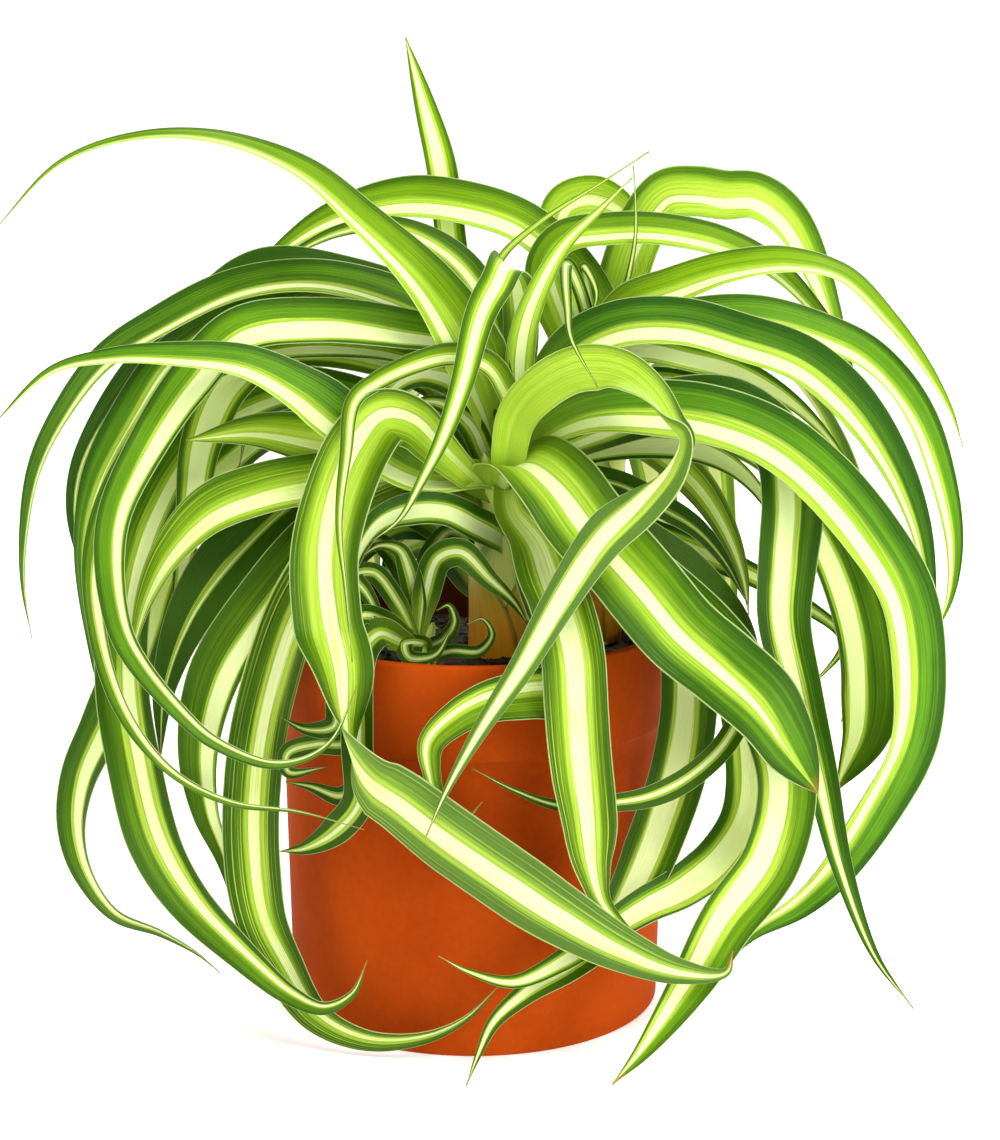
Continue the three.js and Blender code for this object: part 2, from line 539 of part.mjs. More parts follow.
// One ring of a blade: a shallow V of two halves, upper face first.
function ringAt(leaf, station) {
  const { full = 0.5, taper = 1.2, neck = 0.45, lean = [0, 0] } = leaf;
  const face = leaf.face ? vec(leaf.face) : front;
  const opened = THREE.MathUtils.smoothstep(station.along, 0, blade.neckEnd);
  const closing = THREE.MathUtils.clamp((station.along - full) / (1 - full), 0, 1);
  const width = leaf.width * (neck + (1 - neck) * opened) * (1 - closing ** taper);
  const half = Math.max(width, blade.tipWidth) / 2;
  const across = station.tangent.clone().cross(face).normalize();
  const out = across.clone().cross(station.tangent);
  const turn = THREE.MathUtils.degToRad(spread(lean, station.along));
  const side = across.clone().multiplyScalar(Math.cos(turn)).addScaledVector(out, -Math.sin(turn));
  const up = out.clone().multiplyScalar(Math.cos(turn)).addScaledVector(across, Math.sin(turn));
  const fold = THREE.MathUtils.degToRad(blade.fold);
  const edge = (sign) => station.point.clone()
    .addScaledVector(side, sign * half * Math.cos(fold))
    .addScaledVector(up, half * Math.sin(fold));
  const lift = blade.thickness / 2;
  const upper = [edge(1), station.point.clone(), edge(-1)];
  const lower = [edge(-1), station.point.clone(), edge(1)];
  return [
    ...upper.map((p) => p.addScaledVector(up, lift)),
    ...lower.map((p) => p.addScaledVector(up, -lift)),
  ];
}

const bladeCaps = [[0, 1, 4], [0, 4, 5], [1, 2, 3], [1, 3, 4]];

function bladeSolid(leaf, stations) {
  return solidOf(loft(stations.map((station) => ringAt(leaf, station)), bladeCaps));
}

// A leaf in two pieces: the sheath that stays joined to the crown, and the blade beyond it.
function sheathAndBlade(leaf) {
  const crown = crowns[leaf.crown ?? "main"];
  const heart = vec(crown.heart);
  const stations = stationsOf(leaf);
  let last = 0;
  stations.forEach((station, k) => {
    if (station.point.distanceTo(heart) < crown.sheath && k < stations.length / 2) last = k;
  });
  const cut = stations[last + 1];
  const start = {
    ...cut,
    point: cut.point.clone().addScaledVector(cut.tangent, gap),
  };
  return {
    sheath: bladeSolid(leaf, stations.slice(0, last + 2)),
    blade: bladeSolid(leaf, [start, ...stations.slice(last + 2)]),
  };
}

// A tapered round stalk from the crown's foot to its heart.
function stalkSolid({ foot, heart, radius }) {
  const rings = Array.from({ length: stalk.steps + 1 }, (_, k) => {
    const share = k / stalk.steps;
    const centre = vec(foot).lerp(vec(heart), share);
    const size = THREE.MathUtils.lerp(radius[0], radius[1], share);
    return Array.from({ length: stalk.sides }, (_, s) => {
      const angle = (-2 * Math.PI * s) / stalk.sides;
      return new THREE.Vector3(
        centre.x + size * Math.cos(angle), centre.y + size * Math.sin(angle), centre.z);
    });
  });
  return solidOf(loft(rings));
}

// Joins solids and keeps the largest body, so that no sealed pocket stays between blades.
function joined(solids) {
  const whole = wasm.Manifold.union(solids);
  const bodies = whole.decompose();
  return bodies.reduce((best, body) => (body.volume() > best.volume() ? body : best));
}

function potSolid() {
  const { height, rimRadius, footRadius, bandDepth, bandStep, wall, floor, edge } = pot;
  const bandFoot = height - bandDepth;
  const underBand = rimRadius - bandStep;
  const profile = [
    [0, 0], [footRadius - edge, 0], [footRadius, edge],
    [underBand, bandFoot - 1], [rimRadius - 0.4, bandFoot + 0.6],
    [rimRadius, height - edge], [rimRadius - edge, height],
    [rimRadius - wall + 0.4, height], [rimRadius - wall, height - edge],
    [footRadius - wall, floor + edge], [footRadius - wall - edge, floor], [0, floor],
  ].map(([r, z]) => new THREE.Vector2(r, z));
  const turned = solidOf(new THREE.LatheGeometry(profile, pot.sides).rotateX(Math.PI / 2));
  const drains = Array.from({ length: pot.holes }, (_, k) => {
    const angle = (2 * Math.PI * k) / pot.holes;
    return solidOf(new THREE.CylinderGeometry(pot.holeRadius, pot.holeRadius, 4 * floor, pot.holeSides)
      .rotateX(Math.PI / 2)
      .translate(pot.holeRing * Math.cos(angle), pot.holeRing * Math.sin(angle), 0));
  });
  return drains.reduce((solid, drain) => solid.subtract(drain), turned);
}

// The inner wall's radius at a height.
function innerRadius(z) {
  const share = (z - pot.floor - pot.edge) / (pot.height - pot.floor - 2 * pot.edge);
  return THREE.MathUtils.lerp(pot.footRadius, pot.rimRadius, share) - pot.wall;
}

function soilSolid() {
  const bottom = pot.floor + gap;
  const edgeLevel = soil.level - soil.edgeDrop;
  const profile = [
    [0, bottom], [pot.footRadius - pot.wall - pot.edge - soil.clear, bottom],
    [innerRadius(bottom + 2 * pot.edge) - soil.clear, bottom + 2 * pot.edge],
    [innerRadius(edgeLevel) - soil.clear, edgeLevel],
    [innerRadius(edgeLevel) * soil.shoulder, soil.level + soil.crown * soil.shoulder],
    [0, soil.level + soil.crown],
  ].map(([r, z]) => new THREE.Vector2(r, z));
  const fill = solidOf(new THREE.LatheGeometry(profile, pot.sides).rotateX(Math.PI / 2));
  // Each stalk stands in a plain hole that is open at the top.
  return Object.values(crowns).reduce((solid, { foot, radius }) => {
    const [atFoot, atTop] = soil.stalkClear.map((clear) => radius[0] + clear);
    const depth = 2 * (soil.level - foot[2]);
    const hole = new THREE.CylinderGeometry(atTop, atFoot, depth, stalk.sides).rotateX(Math.PI / 2);
    return solid.subtract(solidOf(hole.translate(foot[0], foot[1], foot[2] - gap + depth / 2)));
  }, fill);
}

const plant = new THREE.Group();

function add(name, solid, color, roughness) {
  const material = new THREE.MeshStandardMaterial({ color, roughness, metalness: 0 });
  const mesh = new THREE.Mesh(geometryOf(solid), material);
  mesh.name = name;
  plant.add(mesh);
}

add("pot", potSolid(), colours.pot, 0.7);
add("soil", soilSolid(), colours.soil, 0.95);

const sheaths = { main: [], back: [], plantlet: [] };
for (const leaf of leaves) {
  const { sheath, blade: free } = sheathAndBlade(leaf);
  sheaths[leaf.crown ?? "main"].push(sheath);
  add(leaf.name, free, leaf.name.includes("dark") ? colours.darkLeaf : colours.leaf, 0.45);
}
for (const leaf of youngLeaves) sheaths[leaf.crown].push(bladeSolid(leaf, stationsOf(leaf)));
for (const leaf of plantletLeaves) {
  sheaths.plantlet.push(bladeSolid(leaf, stationsOf({ ...leaf, crown: "plantlet" })));
}
for (const [name, crown] of Object.entries(crowns)) {
  add(`crown.${name}`, joined([stalkSolid(crown), ...sheaths[name]]), colours.crown, 0.5);
}

export default plant;
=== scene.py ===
# Potted spider plant: long striped leaves arching out of two crowns, with a curly plantlet at the rim
# of a plain terracotta-coloured pot. Metres, +Z up; the plant's front faces -Y.
import math
import random

import bpy
import numpy as np
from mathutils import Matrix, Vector, noise


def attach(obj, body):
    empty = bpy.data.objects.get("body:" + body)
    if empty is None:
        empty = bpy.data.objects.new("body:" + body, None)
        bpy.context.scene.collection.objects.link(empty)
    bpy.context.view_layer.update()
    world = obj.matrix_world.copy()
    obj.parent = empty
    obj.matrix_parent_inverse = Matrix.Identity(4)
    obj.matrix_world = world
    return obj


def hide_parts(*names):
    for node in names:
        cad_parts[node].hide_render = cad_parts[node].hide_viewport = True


mm = 0.001
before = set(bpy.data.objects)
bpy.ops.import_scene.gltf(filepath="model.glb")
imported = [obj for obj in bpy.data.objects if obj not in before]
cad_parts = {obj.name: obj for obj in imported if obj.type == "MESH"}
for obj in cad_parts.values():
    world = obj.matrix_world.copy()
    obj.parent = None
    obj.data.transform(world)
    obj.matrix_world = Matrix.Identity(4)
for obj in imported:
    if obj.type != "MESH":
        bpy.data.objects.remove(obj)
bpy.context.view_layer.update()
print("frame loaded")


# A node's output that can stand in a sum. Values go through Math nodes, colours through mix().
class Wire:
    def __init__(self, tree, socket=None):
        self.tree = tree
        self.socket = socket

    # Adds a node: its type, its settings, then plain values or wires for its sockets.
    def make(self, kind, settings=None, values=None, output=0):
        node = self.tree.nodes.new(kind)
        for name, value in (settings or {}).items():
            setattr(node, name, value)
        for name, value in (values or {}).items():
            if isinstance(value, Wire):
                self.tree.links.new(value.socket, node.inputs[name])
            else:
                node.inputs[name].default_value = value
        return Wire(self.tree, node.outputs[output])

    def maths(self, operation, *values):
        return self.make("ShaderNodeMath", {"operation": operation}, dict(enumerate(values)))

    def __add__(self, other):
        return self.maths("ADD", self, other)

    def __sub__(self, other):
        return self.maths("SUBTRACT", self, other)

    def __rsub__(self, other):
        return self.maths("SUBTRACT", other, self)

    def __mul__(self, other):
        return self.maths("MULTIPLY", self, other)

    def __truediv__(self, other):
        return self.maths("DIVIDE", self, other)

    def __rtruediv__(self, other):
        return self.maths("DIVIDE", other, self)

    def __abs__(self):
        return self.maths("ABSOLUTE", self)

    __radd__ = __add__
    __rmul__ = __mul__

    # 0 below low and 1 above high, with a soft step between.
    def step(self, low, high):
        settings = {"interpolation_type": "SMOOTHSTEP"}
        return self.make("ShaderNodeMapRange", settings, {"Value": self, "From Min": low, "From Max": high})

    # This value chooses between two colours: 0 gives the first.
    def mix(self, first, second):
        settings = {"data_type": "RGBA", "clamp_factor": True}
        return self.make("ShaderNodeMix", settings, {0: self, 6: first, 7: second}, output=2)


# A colour given as a screen shows it, 0 to 255, made linear.
def paint(red, green, blue):
    def linear(value):
        share = value / 255
        return share / 12.92 if share <= 0.04045 else ((share + 0.055) / 1.055) ** 2.4

    return (linear(red), linear(green), linear(blue), 1)


# A new material: its name, the wire that makes nodes in it, and its surface shader.
def newMaterial(name):
    material = bpy.data.materials.new(name)
    material.use_nodes = True
    tree = material.node_tree
    shader = next(node for node in tree.nodes if node.type == "BSDF_PRINCIPLED")
    return material, Wire(tree), shader


# Links wires to the shader's sockets, or sets plain values on them.
def dress(shader, wire, values):
    for name, value in values.items():
        if isinstance(value, Wire):
            wire.tree.links.new(value.socket, shader.inputs[name])
        else:
            shader.inputs[name].default_value = value


# What a mesh holds under this name at each of its points.
def stored(wire, name):
    return wire.make("ShaderNodeAttribute", {"attribute_name": name}, output=2)


# A noise round 0, finer with a greater scale.
def grain(wire, place, scale, detail, roughness=0.5):
    return wire.make("ShaderNodeTexNoise", None, {
        "Vector": place, "Scale": scale, "Detail": detail, "Roughness": roughness}) - 0.5


# The fine relief that a height gives, with its strength and its depth in metres.
def relief(wire, height, strength, depth):
    return wire.make("ShaderNodeBump", None, {"Height": height, "Strength": strength, "Distance": depth})


# Everything that a leaf's finish is made of. A border is where a soft edge begins and ends. A name that ends
# in Share says how much of a colour covers what lies below it.
leafFinish = {
    "streak": (4, 10, 3),  # each grain's scale across the leaf, scale along it and detail
    "hair": (17, 7, 2),
    "drift": (0.6, 30, 2),
    "grainRoughness": 0.6,
    "underStep": 3,  # moves the grain on, so that the underside has its own
    "creamBorder": (-0.045, 0.04),  # in shares of half the leaf's width, like marginBorder and seamWidth
    "limeBorder": (0.5, 1.35),  # in shares of the lime's own width
    "pinstripeBorder": (0.08, 0.26),  # in the height of the grain
    "marginBorder": (0.955, 0.985),
    "seamWidth": 0.035,
    "pinstripeShare": 0.7,
    "underShare": 0.28,
    "seamShare": 0.4,
    "marginShare": 0.5,
    "baseShare": 0.55,
    "shadeShare": 0.35,
    "cream": paint(226, 237, 170),
    "creamShade": paint(200, 218, 110),
    "lime": paint(176, 199, 70),
    "limeShade": paint(128, 170, 22),
    "coolGreen": paint(92, 146, 22),
    "freshGreen": paint(128, 164, 2),
    "coolDeep": paint(30, 70, 4),
    "freshDeep": paint(54, 86, 0),
    "margin": paint(206, 224, 150),
    "seam": paint(120, 128, 44),
    "under": paint(132, 166, 74),
    "base": paint(176, 208, 60),
    "shade": paint(20, 40, 3),
    "dry": paint(150, 104, 40),
    "roughness": 0.42,
    "gloss": 0.2,
    "glossTint": paint(225, 255, 190),
    "glow": 0.38,
    "glowSpread": (0.8, 1.0, 0.25),  # how far red, green and blue go, times glowDepth in metres
    "glowDepth": 0.002,
    "veins": 62,
    "veinRelief": (0.55, 0.00012),
}


def leafMaterial():
    material, wire, shader = newMaterial("striped leaf")
    look = leafFinish

    def leafGrain(name):
        scaleAcross, scaleAlong, detail = look[name]
        place = wire.make("ShaderNodeCombineXYZ", None, {
            "X": across * scaleAcross, "Y": along * scaleAlong, "Z": under * look["underStep"]})
        return grain(wire, place, 1, detail, look["grainRoughness"])

    across, along, under = stored(wire, "across"), stored(wire, "along"), stored(wire, "under")
    base, toneAndShadeOfLeaf, pinstripes = stored(wire, "base"), stored(wire, "toneAndShade"), stored(wire, "pinstripe")
    streak = leafGrain("streak")  # broad streaks that follow the leaf
    hair = leafGrain("hair")  # fine lines between the veins
    drift = leafGrain("drift")  # slow change along the leaf

    offCentre = abs(across - stored(wire, "middle"))
    wander = offCentre + streak * 0.2 + hair * 0.14
    creamEdge = stored(wire, "cream")
    inCream = 1 - (wander - creamEdge).step(*look["creamBorder"])
    inLime = 1 - ((wander + streak * 0.3 - creamEdge) / stored(wire, "lime")).step(*look["limeBorder"])
    pinstripe = (hair - 0.1 + pinstripes).step(*look["pinstripeBorder"])
    seam = 1 - abs(wander - creamEdge - 0.02).step(0, look["seamWidth"])  # thin line where cream ends

    border = abs(across).step(0.5, 0.95)
    # Painted shade: a tone below 0 also darkens the green. Its edges are darker green, and streaks vary it.
    toneAndShade = toneAndShadeOfLeaf + 0.1 - border * 0.5 + streak * 0.8 + hair * 0.9 + drift * 0.4
    fresh = stored(wire, "fresh").step(-1, 1)
    deep = fresh.mix(look["coolDeep"], look["freshDeep"])
    green = toneAndShade.step(-0.5, 0.6).mix(deep, fresh.mix(look["coolGreen"], look["freshGreen"]))
    lime = (hair * 1.1 + streak * 0.8 + 0.1).step(-0.22, 0.45).mix(look["lime"], look["limeShade"])
    # The cream turns to creamShade along fine lines, slow drift and pinstripes, and near the root as painted
    # shade.
    creamLinesAndShade = hair * 1.4 + drift + pinstripes + base * 0.5
    cream = creamLinesAndShade.step(0.1, 0.5).mix(look["cream"], look["creamShade"])
    colour = inLime.mix(green, lime)
    colour = (pinstripe * (1 - inLime) * look["pinstripeShare"]).mix(colour, look["lime"])
    colour = (under * look["underShare"]).mix(colour, look["under"])
    colour = inCream.mix(colour, cream)
    colour = (seam * look["seamShare"]).mix(colour, look["seam"])
    margin = abs(across).step(*look["marginBorder"])
    colour = (margin * look["marginShare"]).mix(colour, look["margin"])
    colour = (base * look["baseShare"]).mix(colour, look["base"])
    colour = (toneAndShadeOfLeaf * -look["shadeShare"]).mix(colour, look["shade"])  # painted shade: a tone below 0 darkens all of it
    colour = stored(wire, "dry").mix(colour, look["dry"])

    veins = wire.maths("SINE", across * look["veins"]) * 0.5 + hair * 1.4
    shader.subsurface_method = "BURLEY"
    dress(shader, wire, {
        "Base Color": colour,
        "Roughness": look["roughness"] + hair * 0.25 + under * 0.12,
        "Normal": relief(wire, veins, *look["veinRelief"]),
        "Specular IOR Level": look["gloss"],
        "Specular Tint": look["glossTint"],
        "Subsurface Weight": look["glow"],
        "Subsurface Radius": look["glowSpread"],
        "Subsurface Scale": look["glowDepth"],
    })
    return material


striped = leafMaterial()
print("leaf finish made")

# The crowns, in millimetres: foot in the soil, heart where the leaves part, and the stalk's radius at both.
crowns = {
    "main": {"foot": (10, -3, 106), "heart": (11, -6, 181), "radius": (11.5, 9)},
    "back": {"foot": (40, 22, 106), "heart": (44, 16, 205), "radius": (9, 6.5)},
    "plantlet": {"foot": (-18, -29, 108), "heart": (-18, -29, 131), "radius": (5, 4)},
}

# What all blades share, in millimetres, degrees and shares of the leaf's length. middle, edge: thickness,
# which falls to the share thinnest where half the width is less than thinBelow. fold: how far the two halves
# stand up from flat. valley: how round the midrib's valley is. wave: how high the edges rise where half the
# width is waveHalf; waveLength is what a radian of it takes, and waveTilt its share that tips the leaf. A
# radian of bend counts for bendCost millimetres of leaf when the rings are shared out. neck, full, taper,
# lean and face stand in where a leaf names none. waveLength and phase are ranges to draw from.
blade = {
    "middle": 0.7, "edge": 0.3, "thinBelow": 2, "thinnest": 0.35, "tip": 0.5, "valley": 0.03,
    "fold": 18, "rootFold": 34, "foldEnd": 0.35,
    "ringEvery": 3, "bendCost": 12, "fewestRings": 12,
    "rootDrop": 6, "lowestRoot": 0.3,
    "neck": 0.45, "neckEnd": 0.25, "full": 0.5, "taper": 1.2, "lean": [0, 0], "face": (0, -1, 0.23),
    "wave": 0.5, "waveLength": (9, 15), "waveHalf": 8, "waveStart": 0.25, "waveTilt": 0.35, "phase": (0, 6),
}
# Where the points lie across a leaf, from edge to edge.
acrossPlaces = np.array([-1, -0.94, -0.8, -0.6, -0.38, -0.16, 0, 0.16, 0.38, 0.6, 0.8, 0.94, 1])

# Leaves, in millimetres and degrees. line: the midrib from root to tip. full: how far along the leaf keeps
# its width. taper: how square the tip is. neck: the root's width as a share. lean: how far the upper face
# turns away from the front, spread evenly from root to tip; past 90 the underside shows.
leaves = {
    "leaf.high.left": dict(width=25, full=0.2, taper=0.65, lean=[0, 5, 30, 45, 50, 50],
        line=[(9, -5, 193), (4, -14, 213), (-2, -17, 227), (-15, -20, 247), (-36, -23, 267.5),
              (-54, -24, 282.5), (-79, -26, 292.5), (-104, -28, 293.5), (-129, -30, 285.5),
              (-152, -32, 263)]),
    "leaf.upright": dict(width=11, full=0.7, taper=1.8, lean=[0, 10, 10, 0],
        line=[(8, 10, 190), (-2.5, 23, 219), (-8, 32, 253), (-11.5, 34, 280), (-17, 36, 301),
              (-23, 38, 322)]),
    "leaf.back.arch": dict(crown="back", width=16, full=0.6, taper=1.3, lean=[20, 15, 10, 20, 30],
        line=[(42, 18, 203), (43, 18, 226), (38, 20, 239), (29, 21, 251), (15, 22, 262), (-5, 24, 268),
              (-25, 25, 269), (-48, 25, 263), (-63, 24, 254), (-80, 23, 239)]),
    "leaf.back.low": dict(width=11, full=0.5, taper=1.3, lean=[20, 25, 30, 30],
        line=[(11, 11, 194), (7, 14, 224), (1, 15, 242), (-11, 16, 254), (-28, 16, 261), (-45, 18, 259),
              (-73, 17, 245)]),
    "leaf.left.dark": dict(width=15, full=0.5, taper=1.2, lean=[20, 30, 35, 35, 30],
        line=[(6, 7, 188), (-1, 7, 216), (-21, 10, 237), (-44, 11, 245.5), (-71, 11, 247),
              (-95, 10, 230.5), (-117, 8, 208), (-131, 4, 185), (-134, 2, 168), (-131, 0, 148),
              (-129, 0, 131)]),
    "leaf.left.outer": dict(width=15, full=0.6, taper=1.1, lean=[10, 25, 35, 40, 45, 45],
        line=[(7, 0, 188), (1, 1, 214), (-9, -1, 230), (-24, -2, 239), (-50, -4, 246), (-76, -4, 243),
              (-102, -6, 231), (-121, -6, 219), (-135, -6, 201), (-144, -6, 183), (-149, -6, 160),
              (-150, -6, 143), (-148, -6, 126)]),
    "leaf.left.hook": dict(width=17, full=0.4, taper=1.1, lean=[10, 20, 15, 20, 30, 40, 45],
        line=[(7, -2, 187), (3, -6, 210), (-6, -8, 225), (-24, -12, 230), (-50, -13, 233),
              (-75, -16, 230), (-91, -20, 214), (-103, -26, 197), (-114, -31, 175), (-116, -34, 159),
              (-113, -37, 137), (-107, -40, 126), (-92, -49, 111), (-82, -56, 105), (-62, -70, 102),
              (-44, -85, 113), (-35, -89, 132)]),
    "leaf.left.hair": dict(width=12, full=0.45, taper=1.1, lean=[20, 30, 35, 30, 40, 50],
        line=[(5, 0, 185), (-2, -6, 208), (-21, -5, 220), (-44, -6, 224), (-66, -8, 223), (-84, -10, 217),
              (-101, -12, 203), (-117, -16, 177), (-124, -20, 153), (-122, -25, 130), (-113, -33, 107),
              (-98, -45, 92), (-78, -56, 85), (-55, -67, 85), (-34, -76, 82)]),
    "leaf.left.lime": dict(width=16, full=0.5, taper=1.3, lean=[30, 30, 35, 40],
        line=[(5, 2, 187), (-6, 2, 222), (-31, 1, 238), (-57, 0, 239), (-83, -1, 232), (-100, -1, 220),
              (-113, -2, 201), (-125, -5, 178), (-130, -6, 153), (-127, -8, 122), (-122, -9, 94)]),
    "leaf.left.far": dict(width=20, full=0.4, taper=0.8, lean=[20, 20, 30, 35, 40],
        line=[(5, -11, 181), (-17, -21, 185), (-41, -28, 202), (-55, -29, 213), (-72, -31, 222),
              (-96, -34, 225), (-115, -36, 225), (-133, -38, 221), (-153, -40, 203)]),
    "leaf.kinked": dict(width=9.5, full=0.3, taper=1, neck=0.7, lean=[20, 30, 20, 40, 50],
        line=[(15, -12, 193), (10, -20, 212), (4, -24, 221), (-7, -27, 224), (-18, -30, 222),
              (-30, -34, 217), (-37, -40, 212), (-39, -54, 197), (-41, -62, 177), (-39, -69, 157),
              (-37, -75, 136)]),
    "leaf.twisted": dict(width=23, full=0.75, taper=1.5, neck=0.35,
        lean=[10, 8, 5, 5, 5, 0, -70, -155, -168, -170, -170, -170, -170],
        line=[(2, -14, 179), (-11, -25, 193), (-20, -32, 203), (-28, -36, 205), (-35, -42, 198),
              (-42, -50, 183), (-46, -56, 166), (-45, -64, 147), (-42, -72, 133), (-40, -76, 114),
              (-33, -80, 99), (-22, -82, 91), (-10, -84, 82), (9, -86, 69), (27, -87, 57), (46, -85, 45),
              (65, -83, 37), (80, -80, 36), (82, -79, 43)]),
    "leaf.folded": dict(width=12.5, full=0.45, taper=1.1, neck=0.5,
        lean=[0, 0, 0, -50, -60, -60, -60], face=[0, 0, 1],
        line=[(13, -4, 193), (15, -8, 213), (15, -13, 234), (13, -21, 248), (10, -29, 253), (7, -36, 248),
              (2, -40, 238), (-3, -43, 219), (-9, -46, 202), (-16, -49, 188), (-23, -51, 176),
              (-32, -52, 169)]),
    "leaf.needle": dict(width=4.5, full=0.3, taper=1, lean=[0, 10, 10],
        line=[(11, 0, 192), (7, -3, 216), (5, -5, 236), (8, -8, 252), (21, -11, 265), (41, -13, 278),
              (56, -15, 288)]),
    "leaf.young": dict(width=10, full=0.4, taper=1.2, neck=0.6, lean=[0, 0, 10, 20],
        line=[(15, -10, 197), (15, -18, 222), (17, -22, 235), (22, -25, 248), (29, -27, 260),
              (40, -29, 271), (50, -30, 281)]),
    "leaf.right.wide": dict(crown="back", width=18, full=0.6, taper=1.3, lean=[0, 0, 10, -20, -40, -30],
        line=[(47, 26, 203), (46, 28, 227), (50, 30, 243), (56, 31, 260), (64, 32, 270), (74, 32, 271),
              (84, 32, 269.5), (94, 31, 269), (104, 30, 262), (115, 28, 243), (123, 26, 220),
              (127, 24, 195)]),
    "leaf.back.pale": dict(crown="back", width=18, full=0.8, taper=1.5, lean=[0, 10, 10],
        line=[(43, 30, 204), (35, 36, 230.5), (29, 39, 250.5), (31, 41, 264.5), (39, 42, 267.5),
              (50, 42, 263.5), (57, 42, 253.5)]),
    "leaf.right.cream": dict(crown="back", width=12.5, full=0.6, taper=1.3, lean=[0, -10, -20, -30, -40],
        line=[(39, 14, 203), (29, 12, 227), (23, 12, 247), (29, 12, 257), (45, 13, 260), (61, 13, 260),
              (81, 13, 256), (98, 12, 248), (111, 11, 236), (122, 10, 222), (129, 9, 204)]),
    "leaf.right.long": dict(crown="back", width=14, full=0.5, taper=1.2, lean=[0, 0, -30, -50, -40, -30],
        line=[(44, 9, 207), (42, 8, 223), (50, 6, 236), (65, 5, 242), (84, 3, 248), (104, 2, 250),
              (121, 0, 246), (136, -2, 232), (148, -4, 217), (157, -5, 202), (161, -6, 191)]),
    "leaf.right.green": dict(crown="back", width=16, full=0.6, taper=1.2, lean=[-10, -10, -30, -40, -20, 0],
        line=[(42, 2, 204), (44, 0, 217), (55, -1, 226), (74, -2, 232), (94, -3, 233), (113, -4, 228),
              (129, -5, 220), (144, -7, 203), (153, -8, 183), (158.5, -9, 160), (158, -10, 142),
              (153.5, -10, 128)]),
    "leaf.right.dark": dict(width=17, full=0.6, taper=1.2, lean=[-20, -15, -10, -20, -30],
        line=[(16, -4, 189), (23, -8, 210), (32, -11, 224), (47, -13, 232), (67, -14, 233),
              (86, -15, 228), (106, -16, 221), (122, -17, 208), (135, -18, 190), (145, -19, 167),
              (150, -20, 142), (152, -20, 122)]),
    "leaf.right.under": dict(width=11, full=0.6, taper=1.2, lean=[-20, -20, -20, -30],
        line=[(17, 0, 187), (25, -2, 206), (38, -4, 220), (54, -8, 223.5), (70, -12, 221), (87, -10, 216),
              (103, -10, 207), (115, -11, 196), (125, -12, 183)]),
    "leaf.inner.upper": dict(width=9.5, full=0.6, taper=1.2, lean=[-20, -20, -20],
        line=[(17, -2, 180), (28, -2, 185), (42, -3, 189), (58, -7, 191), (73, -10, 190), (86, -12, 184),
              (96, -13, 173), (101, -13, 159)]),
    "leaf.inner.striped": dict(width=13.5, full=0.6, taper=1.2, lean=[-20, -20, -20],
        line=[(17, 6, 182), (32, 5, 191), (52, 2, 192), (66, 0, 184), (76, 0, 174), (85, -2, 159),
              (90, -2, 145), (92, -2, 133)]),
    "leaf.inner.dark": dict(width=10, full=0.6, taper=1.2, lean=[-30, -30, -30],
        line=[(17, -6, 177), (33, -10, 181), (48, -12, 179), (61, -14, 172), (73, -16, 165),
              (82, -18, 155), (90, -19, 141)]),
    "leaf.inner.lower": dict(width=15, full=0.6, taper=1.2, lean=[-30, -30, -30],
        line=[(16, -10, 174), (30, -18, 174), (44, -22, 170), (57, -24, 162), (74, -26, 150),
              (87, -27, 137), (95, -28, 121)]),
    "leaf.right.great": dict(width=21.5, full=0.7, taper=1.6, lean=[-20, -15, -15, -15, -20, -35, -25, -15],
        line=[(13, -8, 184), (22, -17, 196), (37, -26, 205), (57, -30, 207), (76, -33, 205),
              (95, -35, 198), (112, -37, 185), (127, -38, 167), (138.5, -38, 147), (143, -37, 123),
              (141.5, -37, 101), (133, -37, 80), (119.5, -38, 57), (107, -41, 45), (92, -44, 36),
              (83, -47, 27)]),
    "leaf.right.hanging": dict(width=21.5, full=0.45, taper=1.1, lean=[-30, -20, 0, 0, 0],
        line=[(15, 4, 181), (38, -8, 194), (61, -16, 204), (83, -22, 206), (99, -25, 193),
              (102, -29, 178), (101, -33, 159), (100, -38, 140), (105, -43, 118), (112, -48, 91),
              (119, -52, 62), (130, -56, 33), (143, -58, 15)]),
    "leaf.front.broad": dict(width=28, full=0.8, taper=2.4, neck=0.75,
        lean=[0, 15, 45, 56, 56, 52, 50], face=[0, 0, 1],
        line=[(10, -14, 177), (12, -23, 186), (18, -31, 189), (27, -41, 184), (39, -52, 170),
              (53, -58, 155), (65, -62, 141), (78, -65, 130), (89, -67, 120), (98, -67, 107),
              (105, -67, 97), (109, -67, 91)]),
    "leaf.right.floor": dict(width=20, full=0.7, taper=1.7, lean=[-20, -10, 0, 0, 10],
        line=[(17, -21, 172), (35, -31, 168), (56, -42, 155), (77, -50, 137), (93, -53, 114),
              (100, -57, 91), (95, -61, 67), (81, -67, 49), (70, -73, 31), (54, -83, 11), (44, -89, 2)]),
    "leaf.front.diagonal": dict(width=17, full=0.5, taper=1.1, neck=0.7,
        lean=[0, 0, -20, -80, -175, -180, -180, -180],
        line=[(11, -21, 187), (14, -27, 204), (23, -34, 215), (34, -39, 221), (45, -44, 221),
              (54, -53, 216), (60, -61, 209), (64, -66, 204), (60, -71, 196), (51, -76, 187),
              (39, -82, 176), (27, -88, 159), (15, -94, 139), (3, -97, 121), (-7, -98, 103),
              (-14, -98, 87)]),
    "leaf.front.hanging": dict(width=21, full=0.75, taper=1.5, neck=0.4,
        lean=[0, 0, 0, 0, -10, -40, -50], face=[0, -1, 1],
        line=[(11, -15, 178), (13, -26, 172), (20, -34, 164), (24, -46, 155), (28, -63, 148),
              (31, -77, 137), (32, -78, 121), (33, -77, 105), (35, -76, 85), (37, -76, 68), (41, -75, 56),
              (55, -75, 42)]),
